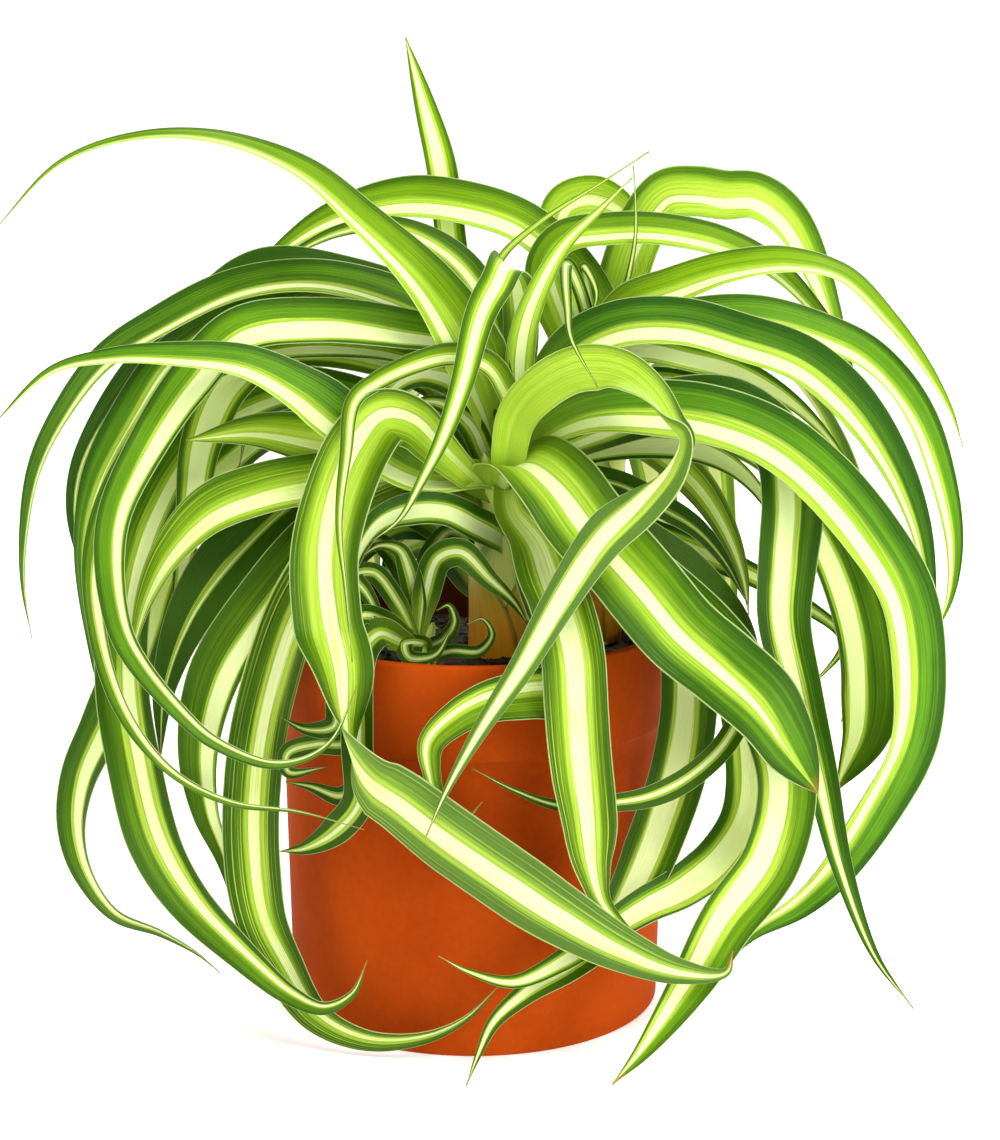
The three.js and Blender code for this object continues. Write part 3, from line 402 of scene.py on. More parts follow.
    "leaf.right.behind": dict(crown="back", width=21.5, full=0.8, taper=1.8, lean=[-10, -20, -10, 0, 20],
        line=[(48, 14, 195), (72, 10, 197), (99, 5, 188), (116, 0, 165), (126, -3, 144), (132, -6, 120),
              (132, -9, 95), (122, -11, 74)]),
    "leaf.right.pot": dict(width=19.5, full=0.6, taper=1.1, lean=[-20, 0, 0, 20, 20, 10],
        line=[(15, -5, 166), (35, -13, 161), (54, -23, 150), (68, -32, 132), (70, -35, 113),
              (67, -41, 91), (61, -46, 72), (54, -53, 57), (44, -64, 44), (31, -72, 35), (18, -76, 28),
              (7, -79, 19), (2, -83, 10), (-2, -90, 2)]),
    "leaf.front.thin": dict(width=8, full=0.7, taper=1.1, lean=[-20, 0, 0, 0],
        line=[(16, -17, 173), (34, -28, 169), (60, -36, 153), (81, -44, 132), (86, -48, 115),
              (81, -53, 104), (69, -59, 94), (56, -64, 89), (42, -68, 88), (27, -70, 88), (13, -70, 93),
              (0, -70, 100)]),
    "leaf.right.sweep": dict(width=16, full=0.65, taper=1.1, lean=[-20, -10, 0, 20, 20, 10],
        line=[(17, 2, 173), (42, -4, 169), (68, -12, 147), (84, -21, 122), (90, -30, 96), (89, -39, 75),
              (80, -48, 63), (68, -56, 56), (55, -64, 52), (40, -72, 45), (28, -76, 38), (13, -78, 32),
              (-1, -77, 35), (-11, -76, 40)]),
    "leaf.front.rim": dict(width=19, full=0.5, taper=1.1, neck=0.4,
        lean=[0, 0, 0, -20, -32, -20, 0], face=[0, -1, 1],
        line=[(11, -8, 167), (20, -24, 154), (26, -48, 144), (30, -67, 136), (28, -71, 126),
              (18, -73, 125), (5, -74, 123), (-5, -75, 118), (-13, -76, 110), (-13, -75, 100),
              (-10, -74, 91), (-2, -73, 85), (3, -73, 90)]),
    "leaf.low.left": dict(width=19, full=0.7, taper=1.3, lean=[30, 40, 30, 10, 0, 10, 30],
        line=[(3, 11, 180), (-25, 11, 199), (-61, 8, 206), (-91, 5, 191), (-108, 0, 165), (-115, -9, 140),
              (-116, -18, 115), (-112, -26, 88), (-105, -35, 65), (-93, -45, 48), (-74, -55, 32),
              (-59, -60, 21), (-48, -64, 18), (-39, -65, 23), (-34, -67, 35)]),
    "leaf.far.left": dict(width=19, full=0.7, taper=1.3, lean=[30, 40, 30, 0, 30, 50, 60],
        line=[(3, 17, 182), (-25, 18, 194), (-59, 18, 196), (-86, 15, 179), (-105, 9, 149),
              (-115, 4, 116), (-125.5, 0, 93), (-133, -3, 76), (-135, -6, 60), (-131.5, -9, 45),
              (-122, -11, 31), (-107, -12, 24.5), (-95, -13, 17.5), (-87, -14, 10.5)]),
    "leaf.left.wall": dict(width=19.5, full=0.6, taper=1.2, lean=[20, 20, 10, 0, 10, 30, 50],
        line=[(1, -9, 174), (-21, -24, 177), (-41, -30, 165), (-56, -37, 145), (-65.5, -45, 119),
              (-70.5, -48, 93), (-71.5, -50, 66), (-68.5, -51, 43), (-61.5, -52, 28), (-51, -57, 13),
              (-35, -63, 7), (-17, -67, 9), (-3, -69, 16), (9, -69, 28)]),
    "leaf.left.drop": dict(width=18.5, full=0.6, taper=1.2, lean=[20, 20, 10, 0, 0],
        line=[(1, -2, 174), (-24, -8, 176), (-47, -18, 166), (-68, -29, 145), (-83, -38, 123),
              (-89, -42, 98), (-87, -45, 78), (-81, -48, 62), (-77, -49, 43)]),
    "leaf.left.shade": dict(width=23, full=0.6, taper=1.2, lean=[15, 15, 15, 15],
        line=[(2, 6, 177), (-25, 2, 181), (-52, -6, 177), (-76, -14, 158), (-92, -22, 138),
              (-101, -28, 115), (-103, -31, 91)]),
    "leaf.left.pale": dict(width=16.5, full=0.6, taper=1.2, lean=[30, 20, 10, 10],
        line=[(2, 0, 186), (-14, 1, 211), (-37, 1, 221), (-64, -1, 222), (-80, -2, 211), (-89, -4, 193),
              (-93, -7, 170), (-98, -7, 143), (-102, -8, 121)]),
    "leaf.left.broad": dict(width=19, full=0.6, taper=1.2, lean=[20, 20, 20, 20],
        line=[(2, -5, 179), (-24, -14, 186), (-47, -20, 183), (-67, -25, 180), (-85, -26, 173),
              (-99, -25, 159), (-107, -25, 144), (-113, -24, 123)]),
    "leaf.left.pointed": dict(width=20, full=0.55, taper=1.5, lean=[10, 10, 10],
        line=[(3, 0, 181), (-11, -2, 189), (-31, -8, 191), (-50, -12, 194), (-71, -17, 198),
              (-93, -22, 196)]),
    "leaf.inner.arch": dict(width=12, full=0.6, taper=1.2, lean=[10, 20, 20],
        line=[(9, -16, 162), (1, -22, 168), (-9, -28, 174), (-20, -33, 175), (-30, -38, 172),
              (-36, -42, 164), (-39, -45, 152)]),
}

# Small young leaves that stay joined to their crown.
youngLeaves = [
    dict(crown="main", width=11,
         line=[(6, -6, 191), (1, -10, 206), (-7, -14, 214), (-17, -13, 216), (-27, -9, 210),
               (-34, -3, 198)]),
    dict(crown="main", width=9,
         line=[(5, -8, 186), (-1, -12, 199), (-9, -14, 206), (-17, -13, 207), (-24, -13, 203)]),
    dict(crown="main", width=10, lean=[30, 30],
         line=[(4, 11, 187), (-11, 18, 209), (-35, 20, 218), (-55, 21, 219), (-71, 19, 211), (-79, 9, 181)]),
    dict(crown="main", width=10,
         line=[(17, 4, 175), (49, 2, 164), (82, 3, 151), (109, 1, 137), (124, -2, 124), (112, -4, 107)]),
    dict(crown="main", width=16,
         line=[(3, 3, 150), (-9, 14, 160), (-25, 21, 161), (-39, 25, 149), (-47, 27, 130)]),
    dict(crown="main", width=20,
         line=[(6, 6, 138), (-4, 22, 149), (-14, 33, 153), (-26, 42, 146), (-34, 48, 127)]),
    dict(crown="main", width=15,
         line=[(2, 4, 150), (-20, 16, 166), (-46, 32, 170), (-70, 46, 158), (-86, 54, 134), (-92, 58, 108)]),
    dict(crown="back", width=8, lean=[-20, -20],
         line=[(46, 8, 204), (58, 3, 212), (75, 1, 210), (91, 0, 205), (104, -2, 197), (114, -4, 186)]),
    dict(crown="back", width=5,
         line=[(44, 7, 207), (39, 3, 227), (34, -6, 244), (30, -15, 252), (30, -34, 240), (31, -44, 232),
               (39, -51, 218)]),
    dict(crown="back", width=5,
         line=[(45, 6, 207), (41, 2, 225), (38, -1, 239), (36, -3, 250), (40, -6, 242), (37, -9, 230)]),
    dict(crown="back", width=2.2, neck=0.8,
         line=[(46, 10, 209), (46, 10, 227), (50, 9, 241), (53, 7, 258), (53, 6, 269), (52, 5, 282)]),
]

# The curly plantlet's short leaves.
plantletLeaves = [
    dict(width=8,
         line=[(-19, -28, 144), (-21, -30, 155), (-24, -32, 162), (-30, -35, 164), (-36, -38, 161)]),
    dict(width=10,
         line=[(-15, -29, 148), (-11, -31, 159), (-4, -32, 161), (5, -35, 153), (13, -38, 146),
               (18, -38, 138)]),
    dict(width=9,
         line=[(-20, -26, 145), (-24, -21, 155), (-31, -16, 161), (-38, -13, 161), (-43, -11, 153)]),
    dict(width=8,
         line=[(-17, -25, 146), (-14, -21, 158), (-8, -18, 165), (-2, -18, 162), (0, -20, 152)]),
    dict(width=6,
         line=[(-16, -34, 131), (-22, -42, 133), (-20, -47, 130), (-12, -47, 131), (-7, -45, 139)]),
    dict(width=5,
         line=[(-9, -36, 134), (-6, -38, 140), (-8, -38, 145), (-12, -37, 143)]),
    dict(width=4.5,
         line=[(-7, -38, 130), (2, -42, 131), (6, -44, 137), (3, -44, 142), (-2, -43, 140)]),
    dict(width=7,
         line=[(-25, -31, 145), (-32, -35, 155), (-38, -40, 155), (-34, -42, 150), (-31, -42, 143),
               (-32, -43, 137), (-39, -44, 132)]),
    dict(width=7, full=0.8, lean=[0, 20],
         line=[(-28, -42, 141), (-36, -54, 145), (-41, -59, 136), (-43, -60, 120), (-44, -60, 111),
               (-53, -57, 109), (-61, -54, 112)]),
    dict(width=7, full=0.8, lean=[0, 20],
         line=[(-26, -40, 136), (-34, -50, 141), (-39, -58, 135), (-40, -59, 119), (-41, -59, 105),
               (-49, -57, 104), (-59, -54, 100), (-59, -53, 94), (-47, -55, 96)]),
    dict(width=7, full=0.8, lean=[0, 20],
         line=[(-25, -40, 134), (-33, -51, 139), (-36, -60, 133), (-37, -63, 114), (-36, -63, 93),
               (-42, -61, 88), (-52, -57, 90), (-60, -55, 91)]),
    dict(width=11, full=0.8, lean=[0, 20],
         line=[(-23, -41, 134), (-30, -51, 139), (-35, -61, 134), (-36, -65, 108), (-36, -66, 88),
               (-44, -63, 77), (-54, -59, 70), (-62, -56, 68)]),
]

# Rear leaves, which arch back and down by one rule. reach and rise follow the midrib away from its crown, and
# it swings to either side by sway, in degrees. Every second leaf is lower and shorter.
rear = {
    "main": dict(azimuths=[74, 95, 114, 131], reach=[10, 30, 58, 86, 104, 110, 106],
                 rise=[176, 194, 204, 190, 156, 112, 74]),
    "back": dict(azimuths=[16, 36, 56, 76], reach=[8, 28, 52, 74, 88, 92, 88],
                 rise=[206, 214, 219, 200, 166, 124, 84]),
    "shape": dict(width=16, full=0.55, taper=1.2, neck=0.4, lean=[90, 84, 96, 88]),
    "secondLower": 14, "secondShorter": 0.88, "sway": 5,
}
for crown in ("main", "back"):
    heart = crowns[crown]["heart"]
    for index, azimuth in enumerate(rear[crown]["azimuths"]):
        second = index % 2
        line = []
        for step, (reach, rise) in enumerate(zip(rear[crown]["reach"], rear[crown]["rise"])):
            out = reach * (rear["secondShorter"] if second else 1)
            turn = math.radians(azimuth + rear["sway"] * math.sin(step + index * 2))
            line.append((heart[0] + out * math.cos(turn), heart[1] + out * math.sin(turn),
                         rise - second * rear["secondLower"]))
        angle = math.radians(azimuth)
        leaves[f"leaf.rear.{crown}.{index + 1}"] = dict(
            rear["shape"], crown=crown, line=line, face=(-math.sin(angle), math.cos(angle), 0))


# Where each leaf's stripe lies. middle: its place between the edges, -1 to 1. cream, lime: half widths as
# shares. tone: painted shade, below 0 darker for leaves that lie in the plant's shade, above 0 lighter.
# fresh: below 0 is bluer, above 0 yellower. pinstripe: above 0 has more fine lines. wave: how wavy the edges
# are. ripple: how wavy the cream's border is. A list is spread evenly from root to tip.
stripes = {
    "leaf.high.left": dict(fresh=0.4, middle=-0.55, cream=[0.1, 0.18, 0.16, 0.12, 0.2], lime=0.4),
    "leaf.upright": dict(fresh=0.4, middle=-0.1, cream=0.42, lime=0.2),
    "leaf.back.arch": dict(middle=-0.5, cream=0.26, lime=0.32),
    "leaf.back.low": dict(middle=-0.3, cream=0.3, lime=0.3, toneAndShade=-0.3),
    "leaf.left.dark": dict(fresh=-0.2, middle=-0.6, cream=0.16, lime=0.2, toneAndShade=-0.5),
    "leaf.left.outer": dict(fresh=-0.3, middle=-0.55, cream=0.18, lime=0.25, toneAndShade=-0.2),
    "leaf.left.hook": dict(fresh=-0.3, middle=-0.35, cream=0.34, lime=0.14),
    "leaf.left.hair": dict(middle=-0.3, cream=0.36, lime=0.16, wave=2, ripple=0.12),
    "leaf.left.lime": dict(fresh=-0.5, middle=-0.45, cream=0.12, lime=0.4, toneAndShade=-0.15, wave=3, ripple=0.35),
    "leaf.left.far": dict(fresh=-0.6, middle=-0.55, cream=0.32, lime=0.26),
    "leaf.kinked": dict(fresh=0.7, middle=-0.2, cream=0.34, lime=0.24, pinstripe=0.1, toneAndShade=-0.1),
    "leaf.twisted": dict(fresh=[0.6, 0.6, 0.6, 0.2, -0.6, -0.8, -0.8], pinstripe=0.14,
                         middle=[0.3, 0.25, 0.1, -0.1, 0, 0, 0, 0],
                         cream=[0.2, 0.2, 0.22, 0.2, 0.22, 0.26, 0.26],
                         lime=[0.4, 0.4, 0.4, 0.25, 0.2, 0.2, 0.2], toneAndShade=[0, 0, 0, -0.1, -0.25, -0.3, -0.3]),
    "leaf.folded": dict(fresh=0.3, middle=-0.05, cream=0.36, lime=0.22),
    "leaf.needle": dict(fresh=0.5, cream=0.1, lime=0.6),
    "leaf.young": dict(fresh=0.6, cream=0.3, lime=0.5, toneAndShade=0.3),
    "leaf.right.wide": dict(fresh=0, middle=[0.1, 0.2, 0.3, 0.35, 0.35], cream=[0.02, 0.05, 0.15, 0.45, 0.45],
                            lime=[0.9, 0.8, 0.6, 0.3, 0.25], toneAndShade=0.1),
    "leaf.back.pale": dict(cream=0.2, lime=0.6, toneAndShade=0.3),
    "leaf.right.cream": dict(fresh=0.2, middle=0.45, cream=0.24, lime=0.36),
    "leaf.right.long": dict(fresh=0.4, middle=0.5, cream=0.24, lime=0.36, toneAndShade=0.15),
    "leaf.right.green": dict(fresh=-0.5, middle=0.5, cream=0.28, lime=0.32),
    "leaf.right.dark": dict(fresh=-1, middle=0.55, cream=0.24, lime=0.32, toneAndShade=-0.25),
    "leaf.right.under": dict(middle=0.15, cream=0.5, lime=0.24),
    "leaf.inner.upper": dict(cream=0.55, lime=0.16, toneAndShade=-0.35),
    "leaf.inner.striped": dict(cream=0.2, lime=0.3, toneAndShade=-0.5, pinstripe=0.24),
    "leaf.inner.dark": dict(cream=0.06, lime=0.12, toneAndShade=-0.9),
    "leaf.inner.lower": dict(middle=0.3, cream=0.12, lime=0.15, toneAndShade=-0.8),
    "leaf.right.great": dict(fresh=-0.7, middle=0.45, cream=0.26, lime=0.28, toneAndShade=-0.05),
    "leaf.right.hanging": dict(middle=0.12, cream=0.26, lime=0.14, toneAndShade=-0.35),
    "leaf.front.broad": dict(fresh=[0.3, 0.2, 0, -0.3, -0.5], middle=0.05, toneAndShade=[0.1, 0, 0, -0.1, -0.2],
                             cream=[0.12, 0.15, 0.17, 0.17, 0.15, 0.08, -0.05],
                             lime=[0.5, 0.4, 0.3, 0.26, 0.24, 0.2, 0.1]),
    "leaf.right.floor": dict(middle=0.25, cream=0.3, lime=0.22),
    "leaf.front.diagonal": dict(fresh=[0.6, 0.5, 0.3, -0.3, -0.6, -0.4, -0.3], pinstripe=-0.3,
                                cream=[-0.1, -0.1, -0.05, 0.25, 0.38, 0.4, 0.38],
                                lime=[1.1, 1.1, 0.9, 0.2, 0.14, 0.14, 0.14],
                                middle=[0.1, 0.1, 0.1, 0, 0, 0, 0],
                                toneAndShade=[0.3, 0.3, 0.2, -0.3, -0.4, -0.3, -0.3]),
    "leaf.front.hanging": dict(fresh=0.5, middle=-0.05, cream=0.28, lime=0.2, pinstripe=0.14, toneAndShade=-0.1),
    "leaf.right.behind": dict(middle=0.45, cream=0.3, lime=0.15, toneAndShade=-0.25),
    "leaf.right.pot": dict(middle=0.1, cream=0.34, lime=0.15, toneAndShade=-0.3),
    "leaf.front.thin": dict(cream=0.15, lime=0.2, toneAndShade=-0.5),
    "leaf.right.sweep": dict(middle=-0.1, cream=0.45, lime=0.2, toneAndShade=-0.1),
    "leaf.front.rim": dict(fresh=0.2, middle=0.3, cream=0.18, lime=0.2, pinstripe=0.15),
    "leaf.low.left": dict(fresh=0.1, middle=-0.2, cream=0.24, lime=0.2, toneAndShade=-0.2),
    "leaf.far.left": dict(middle=-0.15, cream=0.34, lime=0.14, toneAndShade=-0.3, fresh=0),
    "leaf.left.wall": dict(fresh=0.1, middle=-0.1, cream=0.2, lime=0.22, pinstripe=0.16, toneAndShade=-0.3),
    "leaf.left.drop": dict(middle=-0.45, cream=0.34, lime=0.14, toneAndShade=-0.4),
    "leaf.left.shade": dict(cream=0.05, lime=0.1, toneAndShade=-1),
    "leaf.left.pale": dict(cream=0.44, lime=0.26),
    "leaf.left.broad": dict(fresh=0.4, middle=-0.35, cream=0.28, lime=0.3, pinstripe=0.15),
    "leaf.left.pointed": dict(fresh=0.5, middle=-0.2, cream=0.18, lime=0.42, pinstripe=0.18),
    "leaf.inner.arch": dict(middle=-0.15, cream=0.42, lime=0.16, toneAndShade=-0.4),
}
# The young leaves and the plantlet lie in the plant's shade: their tone below 0 is painted shade.
smallFinish = {
    "young": dict(cream=0.26, lime=0.3, toneAndShade=-0.3),
    "plantlet": dict(cream=0.17, lime=0.24, toneAndShade=-0.7),
}
firstSeed = {"young": 100, "plantlet": 200}

# How the stripes run where a leaf names nothing else, in millimetres and shares. A pair is a range to draw
# from. rippleLength, swellLength: what a radian of them takes. narrowing: how much the cream narrows at the
# tip. base: the pale stretch at the root. dry: the tip. grainStep gives each leaf a grain of its own.
striping = {
    "cream": 0.34, "lime": 0.2, "middle": (-0.05, 0.05), "toneAndShade": 0, "pinstripe": (-0.3, -0.08),
    "fresh": (-0.4, 0.4), "ripple": 0.04, "rippleLength": 9, "swell": 0.12, "swellLength": 40,
    "narrowing": 0.35, "baseLength": 60, "baseShare": 0.3, "dryFrom": 0.975, "dryLength": 0.02,
    "dryness": 0.8, "grainStep": 1.37,
}


# Points along a centripetal Catmull-Rom curve.
def curveThrough(points, steps=16):
    knots = np.vstack([2 * points[0] - points[1], points, 2 * points[-1] - points[-2]])
    curve = []
    for a, b, c, d in zip(knots, knots[1:], knots[2:], knots[3:]):
        first, middle, last = (max(np.linalg.norm(q - p) ** 0.5, 1e-4) for p, q in ((a, b), (b, c), (c, d)))
        leave = ((b - a) / first - (c - a) / (first + middle) + (c - b) / middle) * middle
        arrive = ((c - b) / middle - (d - b) / (middle + last) + (d - c) / last) * middle
        for k in range(steps):
            t = k / steps
            curve.append(b + leave * t + (3 * (c - b) - 2 * leave - arrive) * t ** 2
                         + (2 * (b - c) + leave + arrive) * t ** 3)
    curve.append(points[-1])
    return np.array(curve)


def unit(vectors):
    return vectors / np.linalg.norm(vectors, axis=-1, keepdims=True)


def smooth(share):
    share = np.clip(share, 0, 1)
    return share * share * (3 - 2 * share)


# The angles of points spread evenly round a circle.
def circle(sides):
    return [2 * math.pi * k / sides for k in range(sides)]


# Faces between rings of points that follow one another.
def bands(rings, sides, inward=False):
    faces = []
    for ring in range(rings - 1):
        for k in range(sides):
            a, b = ring * sides + k, ring * sides + (k + 1) % sides
            faces.append((a, a + sides, b + sides, b) if inward else (a, b, b + sides, a + sides))
    return faces


# The same, closed at both ends.
def tube(rings, sides):
    ends = [tuple(reversed(range(sides))), tuple(range((rings - 1) * sides, rings * sides))]
    return bands(rings, sides) + ends


# A mesh object with smooth shading and the given values at its points.
def makeMesh(name, points, faces, values, material):
    mesh = bpy.data.meshes.new(name)
    mesh.from_pydata([tuple(p) for p in points], [], faces)
    for key, numbers in values.items():
        mesh.attributes.new(key, "FLOAT", "POINT").data.foreach_set("value", np.asarray(numbers, np.float32))
    mesh.materials.append(material)
    mesh.polygons.foreach_set("use_smooth", [True] * len(mesh.polygons))
    mesh.update()
    piece = bpy.data.objects.new(name, mesh)
    bpy.context.collection.objects.link(piece)
    return piece


# One leaf: a closed thin strip along its midrib, with what the finish reads at each point.
def makeBlade(name, leaf, seed):
    draw = random.Random(seed)
    crown = crowns[leaf.get("crown", "main")]
    foot, heart = np.array(crown["foot"], float), np.array(crown["heart"], float)
    line = np.array(leaf["line"], float)
    share = np.clip((line[0][2] - blade["rootDrop"] - foot[2]) / (heart[2] - foot[2]), blade["lowestRoot"], 1)
    dense = curveThrough(np.vstack([foot + (heart - foot) * share, line]))
    run = np.concatenate([[0], np.cumsum(np.linalg.norm(np.diff(dense, axis=0), axis=1))])
    length = run[-1]
    steps = unit(np.diff(dense, axis=0))
    bend = np.arccos(np.clip((steps[1:] * steps[:-1]).sum(1), -1, 1))
    cost = run + blade["bendCost"] * np.concatenate([[0, 0], np.cumsum(bend)])
    rings = max(blade["fewestRings"], int(cost[-1] / blade["ringEvery"]))
    along = np.interp(np.linspace(0, cost[-1], rings), cost, run)
    spine = np.stack([np.interp(along, run, dense[:, k]) for k in range(3)], 1)
    tangent = unit(np.stack([np.gradient(spine[:, k], along) for k in range(3)], 1))
    part = along / length

    neck, full, taper = (leaf.get(key, blade[key]) for key in ("neck", "full", "taper"))
    lean, face = (leaf.get(key, blade[key]) for key in ("lean", "face"))
    closing = np.clip((part - full) / (1 - full), 0, 1)
    width = leaf["width"] * (neck + (1 - neck) * smooth(part / blade["neckEnd"])) * (1 - closing ** taper)
    half = np.maximum(width, blade["tip"])[:, None] / 2

    side = unit(np.cross(tangent, unit(np.array(face, float))))
    out = np.cross(side, tangent)
    turn = np.radians(np.interp(part * (len(lean) - 1), range(len(lean)), lean))[:, None]
    side, up = side * np.cos(turn) - out * np.sin(turn), out * np.cos(turn) + side * np.sin(turn)

    foldClosing = 1 - smooth(part / blade["foldEnd"])
    fold = np.radians(blade["fold"] + (blade["rootFold"] - blade["fold"]) * foldClosing)[:, None]
    count = len(acrossPlaces)
    rise = np.sqrt(acrossPlaces ** 2 + blade["valley"]) - math.sqrt(blade["valley"])
    rise = rise / rise[-1]
    thick = blade["edge"] + (blade["middle"] - blade["edge"]) * (1 - acrossPlaces ** 2)
    phase = draw.uniform(*blade["phase"])
    wave = np.sin(along / draw.uniform(*blade["waveLength"]) + phase) * smooth(part / blade["waveStart"])
    wave = (blade["wave"] * leaf.get("wave", 1) * wave)[:, None] * half / blade["waveHalf"]
    flat = spine[:, None] + (side * half)[:, None] * (np.cos(fold) * acrossPlaces[None])[..., None]
    lifted = half * np.sin(fold) * rise[None]
    lifted = lifted + wave * (np.abs(acrossPlaces)[None] ** 3 + blade["waveTilt"] * acrossPlaces[None])
    body = thick[None] / 2 * np.clip(half / blade["thinBelow"], blade["thinnest"], 1)
    upper = flat + up[:, None] * (lifted + body)[..., None]
    lower = flat + up[:, None] * (lifted - body)[..., None]
    points = np.concatenate([upper, lower[:, ::-1]], 1).reshape(-1, 3) * mm

    everyRing = np.ones((rings, 1))
    everyPlace = np.ones((1, 2 * count))
    places = np.concatenate([acrossPlaces, acrossPlaces[::-1]])
    ripple = leaf.get("ripple", striping["ripple"]) * np.sin(along / striping["rippleLength"] + 2 * phase)
    swell = striping["swell"] * np.sin(along / striping["swellLength"] + phase)
    creamChange = 1 + swell + ripple - striping["narrowing"] * closing ** 3
    base = 1 - smooth(along / min(striping["baseLength"], striping["baseShare"] * length))
    dry = smooth((part - striping["dryFrom"]) / striping["dryLength"]) * striping["dryness"]

    def spread(key):
        otherwise = striping[key]
        if isinstance(otherwise, tuple):
            otherwise = draw.uniform(*otherwise)
        given = leaf.get(key, otherwise)
        if isinstance(given, list):
            given = np.interp(part * (len(given) - 1), range(len(given)), given)[:, None]
        return everyRing * everyPlace * given

    values = {
        "across": everyRing * places,
        "along": (along * mm + seed * striping["grainStep"])[:, None] * everyPlace,
        "under": everyRing * np.concatenate([np.zeros(count), np.ones(count)]),
        "cream": spread("cream") * creamChange[:, None],
        "lime": spread("lime"),
        "middle": spread("middle"),
        "toneAndShade": spread("toneAndShade"),
        "pinstripe": spread("pinstripe"),
        "fresh": spread("fresh"),
        "base": base[:, None] * everyPlace,
        "dry": dry[:, None] * everyPlace,
    }
    values = {key: numbers.reshape(-1) for key, numbers in values.items()}
    return makeMesh(name, points, tube(rings, 2 * count), values, striped)


# What every piece says: the body that carries it and the solid that it stands in for.
def declare(piece, node):
    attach(piece, "root")
    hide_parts(node)


for index, (node, leaf) in enumerate(leaves.items()):
    leaf = dict(leaf, **stripes.get(node, {}))
    declare(makeBlade(node.replace("leaf", "blade"), leaf, index), node)
print(len(leaves), "leaves made")

for index, leaf in enumerate(youngLeaves):
    crown, seed = leaf["crown"], firstSeed["young"] + index
    leaf = dict(leaf, **smallFinish["young"])
    declare(makeBlade(f"young.{crown}.{index + 1}", leaf, seed), f"crown.{crown}")
for index, leaf in enumerate(plantletLeaves):
    leaf = dict(leaf, crown="plantlet", **smallFinish["plantlet"])
    declare(makeBlade(f"curl.{index + 1}", leaf, firstSeed["plantlet"] + index), "crown.plantlet")
print("young leaves made")


# The pot, in millimetres. underBand: the wall's last points below the band, from where the band begins.
# centre: the radius where the floor closes.
potShape = {
    "height": 132, "rimRadius": 66, "footRadius": 62.5, "bandDepth": 31, "bandStep": 1.4, "wall": 2.8,
    "floor": 3.5, "edge": 1.2, "bandEdge": 0.9, "bandEdgeRise": 0.3, "underBand": [(-0.1, -6), (0, -1.2)],
    "floorBend": 3, "centre": 0.5, "sides": 144,
    "holes": 6, "holeRadius": 5, "holeRing": 38, "holeSides": 32, "cutterDepth": 20,
}
potFinish = {
    "clay": paint(182, 72, 14), "clayDark": paint(140, 50, 6), "clayLight": paint(206, 94, 30),
    "innerDark": paint(64, 34, 14), "innerDarkShare": 0.8, "roughness": 0.6, "gloss": 0.01,
    "innerWall": (0.0636, 0.0642), "soilLine": (0.112, 0.116),  # where the darker inner wall begins, in metres
    "cloud": (16, 5), "speck": (420, 3),  # each grain's scale and detail
    "relief": (0.3, 0.0002),
}


def potMaterial():
    material, wire, shader = newMaterial("terracotta-coloured plastic")
    place = wire.make("ShaderNodeTexCoord", output="Object")
    cloud, speck = grain(wire, place, *potFinish["cloud"]), grain(wire, place, *potFinish["speck"])
    colour = (cloud * 1.3 + speck * 0.3).step(-0.5, 0.5).mix(potFinish["clayDark"], potFinish["clay"])
    colour = (cloud * 0.8 - speck * 0.8).step(0.1, 0.7).mix(colour, potFinish["clayLight"])
    flat = wire.make("ShaderNodeVectorMath", {"operation": "MULTIPLY"}, {0: place, 1: (1, 1, 0)})
    radius = wire.make("ShaderNodeVectorMath", {"operation": "LENGTH"}, {0: flat}, output=1)
    height = wire.make("ShaderNodeVectorMath", {"operation": "DOT_PRODUCT"}, {0: place, 1: (0, 0, 1)},
                       output=1)
    inside = (1 - radius.step(*potFinish["innerWall"])) * height.step(*potFinish["soilLine"])
    colour = (inside * potFinish["innerDarkShare"]).mix(colour, potFinish["innerDark"])  # the inner wall above the soil is darker
    dress(shader, wire, {
        "Base Color": colour, "Roughness": potFinish["roughness"] + cloud * 0.2 + speck * 0.15,
        "Normal": relief(wire, speck + cloud * 0.6, *potFinish["relief"]),
        "Specular IOR Level": potFinish["gloss"]})
    return material


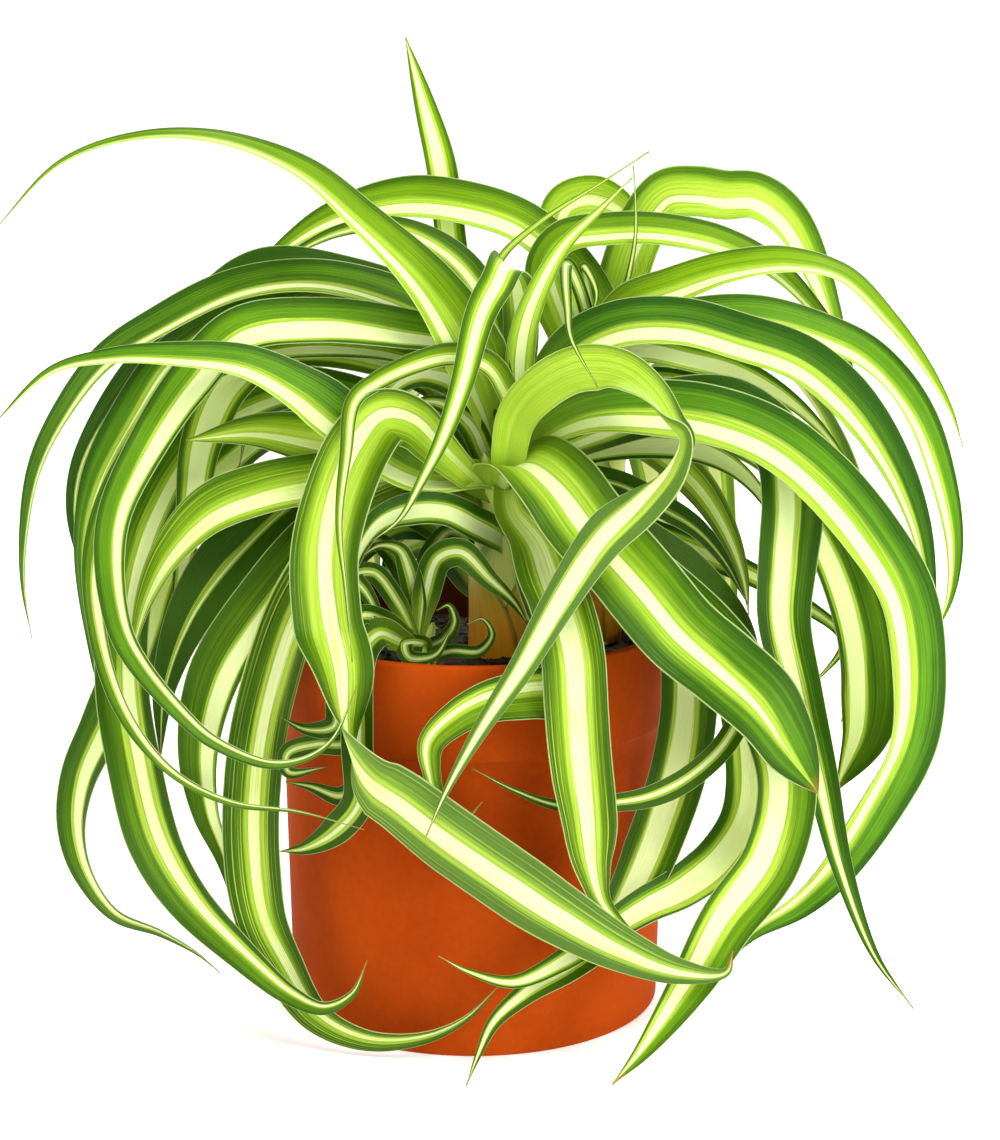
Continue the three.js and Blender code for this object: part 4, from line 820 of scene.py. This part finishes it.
def makePot():
    shape = potShape
    bandFoot = shape["height"] - shape["bandDepth"]
    foot, rim, wall, edge = shape["footRadius"], shape["rimRadius"], shape["wall"], shape["edge"]
    underBand, lip, corner = rim - shape["bandStep"], shape["bandEdge"], shape["floorBend"]

    def bend(centre, radius, start, stop, steps=5):  # points of a rounded edge
        turns = [math.radians(start + (stop - start) * k / (steps - 1)) for k in range(steps)]
        return [(centre[0] + radius * math.cos(t), centre[1] + radius * math.sin(t)) for t in turns]

    profile = [(shape["centre"], 0)]
    profile += bend((foot - edge, edge), edge, -90, 0)
    profile += [(underBand + out, bandFoot + up) for out, up in shape["underBand"]]
    profile += bend((rim - lip, bandFoot + shape["bandEdgeRise"]), lip, -60, 0, 4)
    profile += bend((rim - edge, shape["height"] - edge), edge, 0, 90)
    profile += bend((rim - wall + edge, shape["height"] - edge), edge, 90, 180)
    profile += [(foot - wall, shape["floor"] + corner)]
    profile += bend((foot - wall - corner, shape["floor"] + corner), corner, 0, -90)
    profile += [(shape["centre"], shape["floor"])]
    points = [(radius * math.cos(angle) * mm, radius * math.sin(angle) * mm, height * mm)
              for radius, height in profile for angle in circle(shape["sides"])]
    pot = makeMesh("pot.shell", points, tube(len(profile), shape["sides"]), {}, potMaterial())
    cutters = []
    ring = shape["holeRing"] * mm
    for k, angle in enumerate(circle(shape["holes"])):
        bpy.ops.mesh.primitive_cylinder_add(
            vertices=shape["holeSides"], radius=shape["holeRadius"] * mm, depth=shape["cutterDepth"] * mm,
            location=(ring * math.cos(angle), ring * math.sin(angle), 0))
        cutters.append(bpy.context.object)
        cut = pot.modifiers.new(f"hole {k}", "BOOLEAN")
        cut.object = cutters[-1]
        cut.operation = "DIFFERENCE"
        cut.solver = "EXACT"
    cleared = bpy.data.meshes.new_from_object(pot.evaluated_get(bpy.context.evaluated_depsgraph_get()))
    pot.modifiers.clear()
    pot.data = cleared
    for cutter in cutters:
        bpy.data.objects.remove(cutter)
    return pot


declare(makePot(), "pot")
print("pot made")

# The soil's bed and the bits that lie on it, in millimetres. A pair is a range to draw from. lumpNoise: how
# fast a fractal's finer layers fade, how much finer each is, and how many there are.
soilShape = {
    "level": 119, "crown": 2.5, "drop": 2, "radius": 62.0, "bottom": 4, "bottomInset": 4.4,
    "sides": 96, "rings": 26, "lump": 1.6, "lumpSize": 9, "lumpNoise": (1.0, 2.0, 4),
    "bits": 520, "seed": 5, "reach": 0.96, "paleShare": 0.12, "paleSize": (0.6, 1.6), "darkSize": (0.7, 3.0),
    "jitter": (0.7, 1.2), "flatness": 0.6, "lift": 0.6,
}
soilFinish = {
    "earth": paint(30, 21, 15), "brown": paint(86, 58, 36), "pale": paint(208, 196, 172),
    "crumb": (260, 6), "roughness": 0.9, "relief": (0.9, 0.0012),
}


def soilMaterial():
    material, wire, shader = newMaterial("potting soil")
    place = wire.make("ShaderNodeTexCoord", output="Object")
    crumbs = grain(wire, place, *soilFinish["crumb"])
    colour = (crumbs * 1.5).step(-0.3, 0.6).mix(soilFinish["earth"], soilFinish["brown"])
    colour = stored(wire, "pale").mix(colour, soilFinish["pale"])
    dress(shader, wire, {
        "Base Color": colour, "Roughness": soilFinish["roughness"] + crumbs * 0.1,
        "Normal": relief(wire, crumbs, *soilFinish["relief"])})
    return material


# A bit of soil has eight sides.
bitCorners = [(1, 0, 0), (0, 1, 0), (-1, 0, 0), (0, -1, 0), (0, 0, 1), (0, 0, -1)]
bitFaces = [(0, 1, 4), (1, 2, 4), (2, 3, 4), (3, 0, 4), (1, 0, 5), (2, 1, 5), (3, 2, 5), (0, 3, 5)]


def makeSoil():
    shape = soilShape
    draw = random.Random(shape["seed"])
    sides, rings = shape["sides"], shape["rings"]
    points, pale = [], []

    def level(share):
        return shape["level"] + shape["crown"] * (1 - share ** 2) - shape["drop"] * share ** 2

    for ring in range(rings + 1):
        share = ring / rings
        for angle in circle(sides):
            x, y = shape["radius"] * share * math.cos(angle), shape["radius"] * share * math.sin(angle)
            spot = Vector((x / shape["lumpSize"], y / shape["lumpSize"], 0))
            lump = noise.fractal(spot, *shape["lumpNoise"]) * shape["lump"]
            points.append((x * mm, y * mm, (level(share) + lump) * mm))
            pale.append(0)
    radius = shape["radius"] - shape["bottomInset"]
    for angle in circle(sides):
        points.append((radius * math.cos(angle) * mm, radius * math.sin(angle) * mm, shape["bottom"] * mm))
        pale.append(0)
    faces = bands(rings + 2, sides, inward=True)
    faces.append(tuple(reversed(range(len(points) - sides, len(points)))))

    for _ in range(shape["bits"]):
        angle = draw.uniform(0, 2 * math.pi)
        reach = shape["radius"] * shape["reach"] * math.sqrt(draw.random())
        x, y = reach * math.cos(angle), reach * math.sin(angle)
        z = level(reach / shape["radius"]) + shape["lift"]
        isPale = draw.random() < shape["paleShare"]
        size = [draw.uniform(*shape["paleSize" if isPale else "darkSize"]) for _ in range(3)]
        spin = draw.uniform(0, math.pi)
        start = len(points)
        for u, v, w in bitCorners:
            jitter = draw.uniform(*shape["jitter"])
            px, py, pz = u * size[0] * jitter, v * size[1] * jitter, w * size[2] * shape["flatness"] * jitter
            points.append(((x + px * math.cos(spin) - py * math.sin(spin)) * mm,
                           (y + px * math.sin(spin) + py * math.cos(spin)) * mm, (z + pz) * mm))
            pale.append(1 if isPale else 0)
        for a, b, c in bitFaces:
            faces.append((start + a, start + b, start + c))
    return makeMesh("soil.bed", points, faces, {"pale": pale}, soilMaterial())


declare(makeSoil(), "soil")
print("soil made")

# The crowns' stalks: wraps of old leaf bases round a core, in millimetres and degrees.
wraps = {
    "main": dict(count=12, height=46, seed=3),
    "back": dict(count=11, height=52, seed=4),
    "plantlet": dict(count=6, height=16, seed=6),
}
# What all wraps share. reach and age: the lowest wrap's, and how much they fall to the highest. tipAge: the
# share of its age that a wrap loses towards its tip. overlap: the share of the highest wrap that lies below
# the heart. lip: how far the tip stands off. vary and lip are ranges to draw from.
wrap = {
    "turn": 137.5, "firstTurn": 250, "opening": 175, "rows": 14, "columns": 13, "thick": 0.8, "tipAge": 0.5,
    "vary": (0.85, 1.15), "lip": (0.5, 3), "reach": (1.12, 0.16), "age": (1.1, 1.5), "overlap": 0.6,
    "coreShare": 0.86, "coreSides": 20, "coreRings": 7, "coreStreaks": 3, "coreAge": 0.4,
}
crownFinish = {
    "pale": paint(224, 238, 112), "green": paint(132, 176, 34), "old": paint(246, 162, 22),
    "edge": paint(84, 112, 22), "edgeBorder": (0.84, 0.98), "edgeShare": 0.6,
    "hair": (16, 20, 3),  # scale across, scale along and detail
    "roughness": 0.42, "relief": (0.5, 0.0003),
}


def crownMaterial():
    material, wire, shader = newMaterial("leaf bases")
    across, along, age = stored(wire, "across"), stored(wire, "along"), stored(wire, "age")
    scaleAcross, scaleAlong, detail = crownFinish["hair"]
    place = wire.make("ShaderNodeCombineXYZ", None, {"X": across * scaleAcross, "Y": along * scaleAlong})
    hair = grain(wire, place, 1, detail)
    colour = (abs(across) + hair * 0.9).step(0.2, 0.75).mix(crownFinish["pale"], crownFinish["green"])
    colour = (age + hair * 0.5).step(0.35, 0.8).mix(colour, crownFinish["old"])
    edge = abs(across).step(*crownFinish["edgeBorder"])
    colour = (edge * crownFinish["edgeShare"]).mix(colour, crownFinish["edge"])
    dress(shader, wire, {
        "Base Color": colour, "Roughness": crownFinish["roughness"] + hair * 0.2,
        "Normal": relief(wire, hair, *crownFinish["relief"])})
    return material


leafBases = crownMaterial()


# One crown's stalk, with its wraps.
def makeStalk(name):
    crown, rule = crowns[name], wraps[name]
    draw = random.Random(rule["seed"])
    foot, heart = np.array(crown["foot"], float), np.array(crown["heart"], float)
    axis = unit(heart - foot)
    tall = np.linalg.norm(heart - foot)
    sideways = unit(np.cross(axis, (0, 1, 0)))
    depth = np.cross(axis, sideways)
    points, faces, values = [], [], {"across": [], "along": [], "age": []}

    # A curved shell that hugs the stalk like an old leaf base, pointed at its top.
    def addWrap(start, top, reach, middleAngle, age, lip):
        rows, columns = wrap["rows"], wrap["columns"]
        base = len(points)
        for r in range(rows):
            share = r / (rows - 1)
            height = start + (top - start) * share
            closing = 1 - share ** 3
            girth = np.interp(min(height / tall, 1), (0, 1), crown["radius"])
            for skin in (0, 1):
                for c in range(columns):
                    a = 2 * c / (columns - 1) - 1
                    angle = math.radians(middleAngle) + math.radians(wrap["opening"] / 2) * a * closing
                    out = girth * reach + lip * share ** 2 - skin * wrap["thick"]
                    centre = foot + axis * height
                    p = centre + (sideways * math.cos(angle) + depth * math.sin(angle)) * out
                    points.append(p * mm)
                    values["across"].append(a)
                    values["along"].append(height * mm + middleAngle)  # so each wrap has its own grain
                    values["age"].append(age * (1 - wrap["tipAge"] * share))
        wide = 2 * columns
        for r in range(rows - 1):
            for c in range(columns - 1):
                a = base + r * wide + c
                faces.append((a, a + 1, a + wide + 1, a + wide))
                b = a + columns
                faces.append((b, b + wide, b + wide + 1, b + 1))
            for c, d in ((0, columns), (2 * columns - 1, columns - 1)):
                a, b = base + r * wide + c, base + r * wide + d
                faces.append((a, a + wide, b + wide, b))
        for r in (0, rows - 1):
            for c in range(columns - 1):
                a, b = base + r * wide + c, base + r * wide + c + columns
                faces.append((a, b, b + 1, a + 1) if r == 0 else (a, a + 1, b + 1, b))

    sides, rings = wrap["coreSides"], wrap["coreRings"]
    for r in range(rings):
        share = r / (rings - 1)
        radius = np.interp(share, (0, 1), crown["radius"]) * wrap["coreShare"]
        for angle in circle(sides):
            p = foot + axis * tall * share + (sideways * math.cos(angle) + depth * math.sin(angle)) * radius
            points.append(p * mm)
            values["across"].append(math.sin(wrap["coreStreaks"] * angle))
            values["along"].append(tall * share * mm)
            values["age"].append(wrap["coreAge"] * (1 - share))
    faces += tube(rings, sides)
    for k in range(rule["count"]):
        share = k / (rule["count"] - 1)
        start = share * (tall - rule["height"] * wrap["overlap"])
        top = start + rule["height"] * draw.uniform(*wrap["vary"])
        reach = wrap["reach"][0] - wrap["reach"][1] * share
        age = wrap["age"][0] - wrap["age"][1] * share
        addWrap(start, top, reach, k * wrap["turn"] + wrap["firstTurn"], age, draw.uniform(*wrap["lip"]))
    return makeMesh(f"crown.{name}.stalk", points, faces, values, leafBases)


for name in crowns:
    declare(makeStalk(name), f"crown.{name}")
print("crowns made")

# Floor, light and camera. Sizes in metres, light in watts, the camera's tilt in radians and its lens as
# pixels of focal length and of the frame's longer side.
studio = {
    "floor": paint(250, 250, 248), "floorRoughness": 0.8, "floorGlow": 0.3, "mottle": (3, 2),
    "world": (1, 1, 1, 1), "worldStrength": 0.5,
    "floorRadius": 9.0, "floorBend": 2.5, "wallTop": 9.0, "floorSides": 64,
    "floorRings": [0.02, 0.3, 1, 3], "floorBendStep": 6,
    "lamps": {
        "key": dict(place=(0.7, -1.0, 1.6), size=0.7, power=24),
        "fill": dict(place=(-1.2, -1.0, 0.9), size=1.0, power=5),
        "rim": dict(place=(0.4, 1.1, 1.4), size=0.9, power=18),
        "low": dict(place=(0.9, -0.9, 0.2), size=0.5, power=4),
    },
    "aim": (0, 0, 0.15),
    "camera": (0.0086, -0.9, 0.354), "tiltDown": 0.225, "focalPixels": 2757, "framePixels": 1140,
    "sensorWidth": 36, "sight": 100,
}


def makeStudio():
    material, wire, shader = newMaterial("paper sweep")
    place = wire.make("ShaderNodeTexCoord", output="Object")
    mottle = grain(wire, place, *studio["mottle"])
    dress(shader, wire, {
        "Base Color": studio["floor"], "Roughness": studio["floorRoughness"] + mottle * 0.1,
        "Emission Color": (1, 1, 1, 1), "Emission Strength": studio["floorGlow"]})
    reach, bend, sides = studio["floorRadius"], studio["floorBend"], studio["floorSides"]
    profile = [(radius, 0) for radius in studio["floorRings"]]
    profile += [(reach - bend + bend * math.sin(math.radians(a)), bend - bend * math.cos(math.radians(a)))
                for a in range(0, 91, studio["floorBendStep"])]
    profile += [(reach, studio["wallTop"])]
    points = [(r * math.cos(t), r * math.sin(t), z) for r, z in profile for t in circle(sides)]
    faces = [tuple(range(sides))] + bands(len(profile), sides, inward=True)
    sweep = makeMesh("paper.sweep", points, faces, {}, material)

    world = bpy.data.worlds.new("soft white")
    world.use_nodes = True
    background = next(node for node in world.node_tree.nodes if node.type == "BACKGROUND")
    background.inputs["Color"].default_value = studio["world"]
    background.inputs["Strength"].default_value = studio["worldStrength"]
    bpy.context.scene.world = world

    aim = Vector(studio["aim"])
    for name, lamp in studio["lamps"].items():
        light = bpy.data.lights.new(name, "AREA")
        light.energy = lamp["power"]
        light.size = lamp["size"]
        holder = bpy.data.objects.new(name, light)
        holder.location = lamp["place"]
        holder.rotation_euler = (aim - holder.location).to_track_quat("-Z", "Y").to_euler()
        bpy.context.collection.objects.link(holder)

    lens = bpy.data.cameras.new("camera")
    lens.sensor_width = studio["sensorWidth"]
    lens.lens = studio["sensorWidth"] * studio["focalPixels"] / studio["framePixels"]
    lens.clip_end = studio["sight"]
    camera = bpy.data.objects.new("camera", lens)
    camera.location = studio["camera"]
    camera.rotation_euler = (math.pi / 2 - studio["tiltDown"], 0, 0)
    bpy.context.collection.objects.link(camera)
    bpy.context.scene.camera = camera
    bpy.context.scene.view_settings.view_transform = "Standard"


makeStudio()
print("studio made")
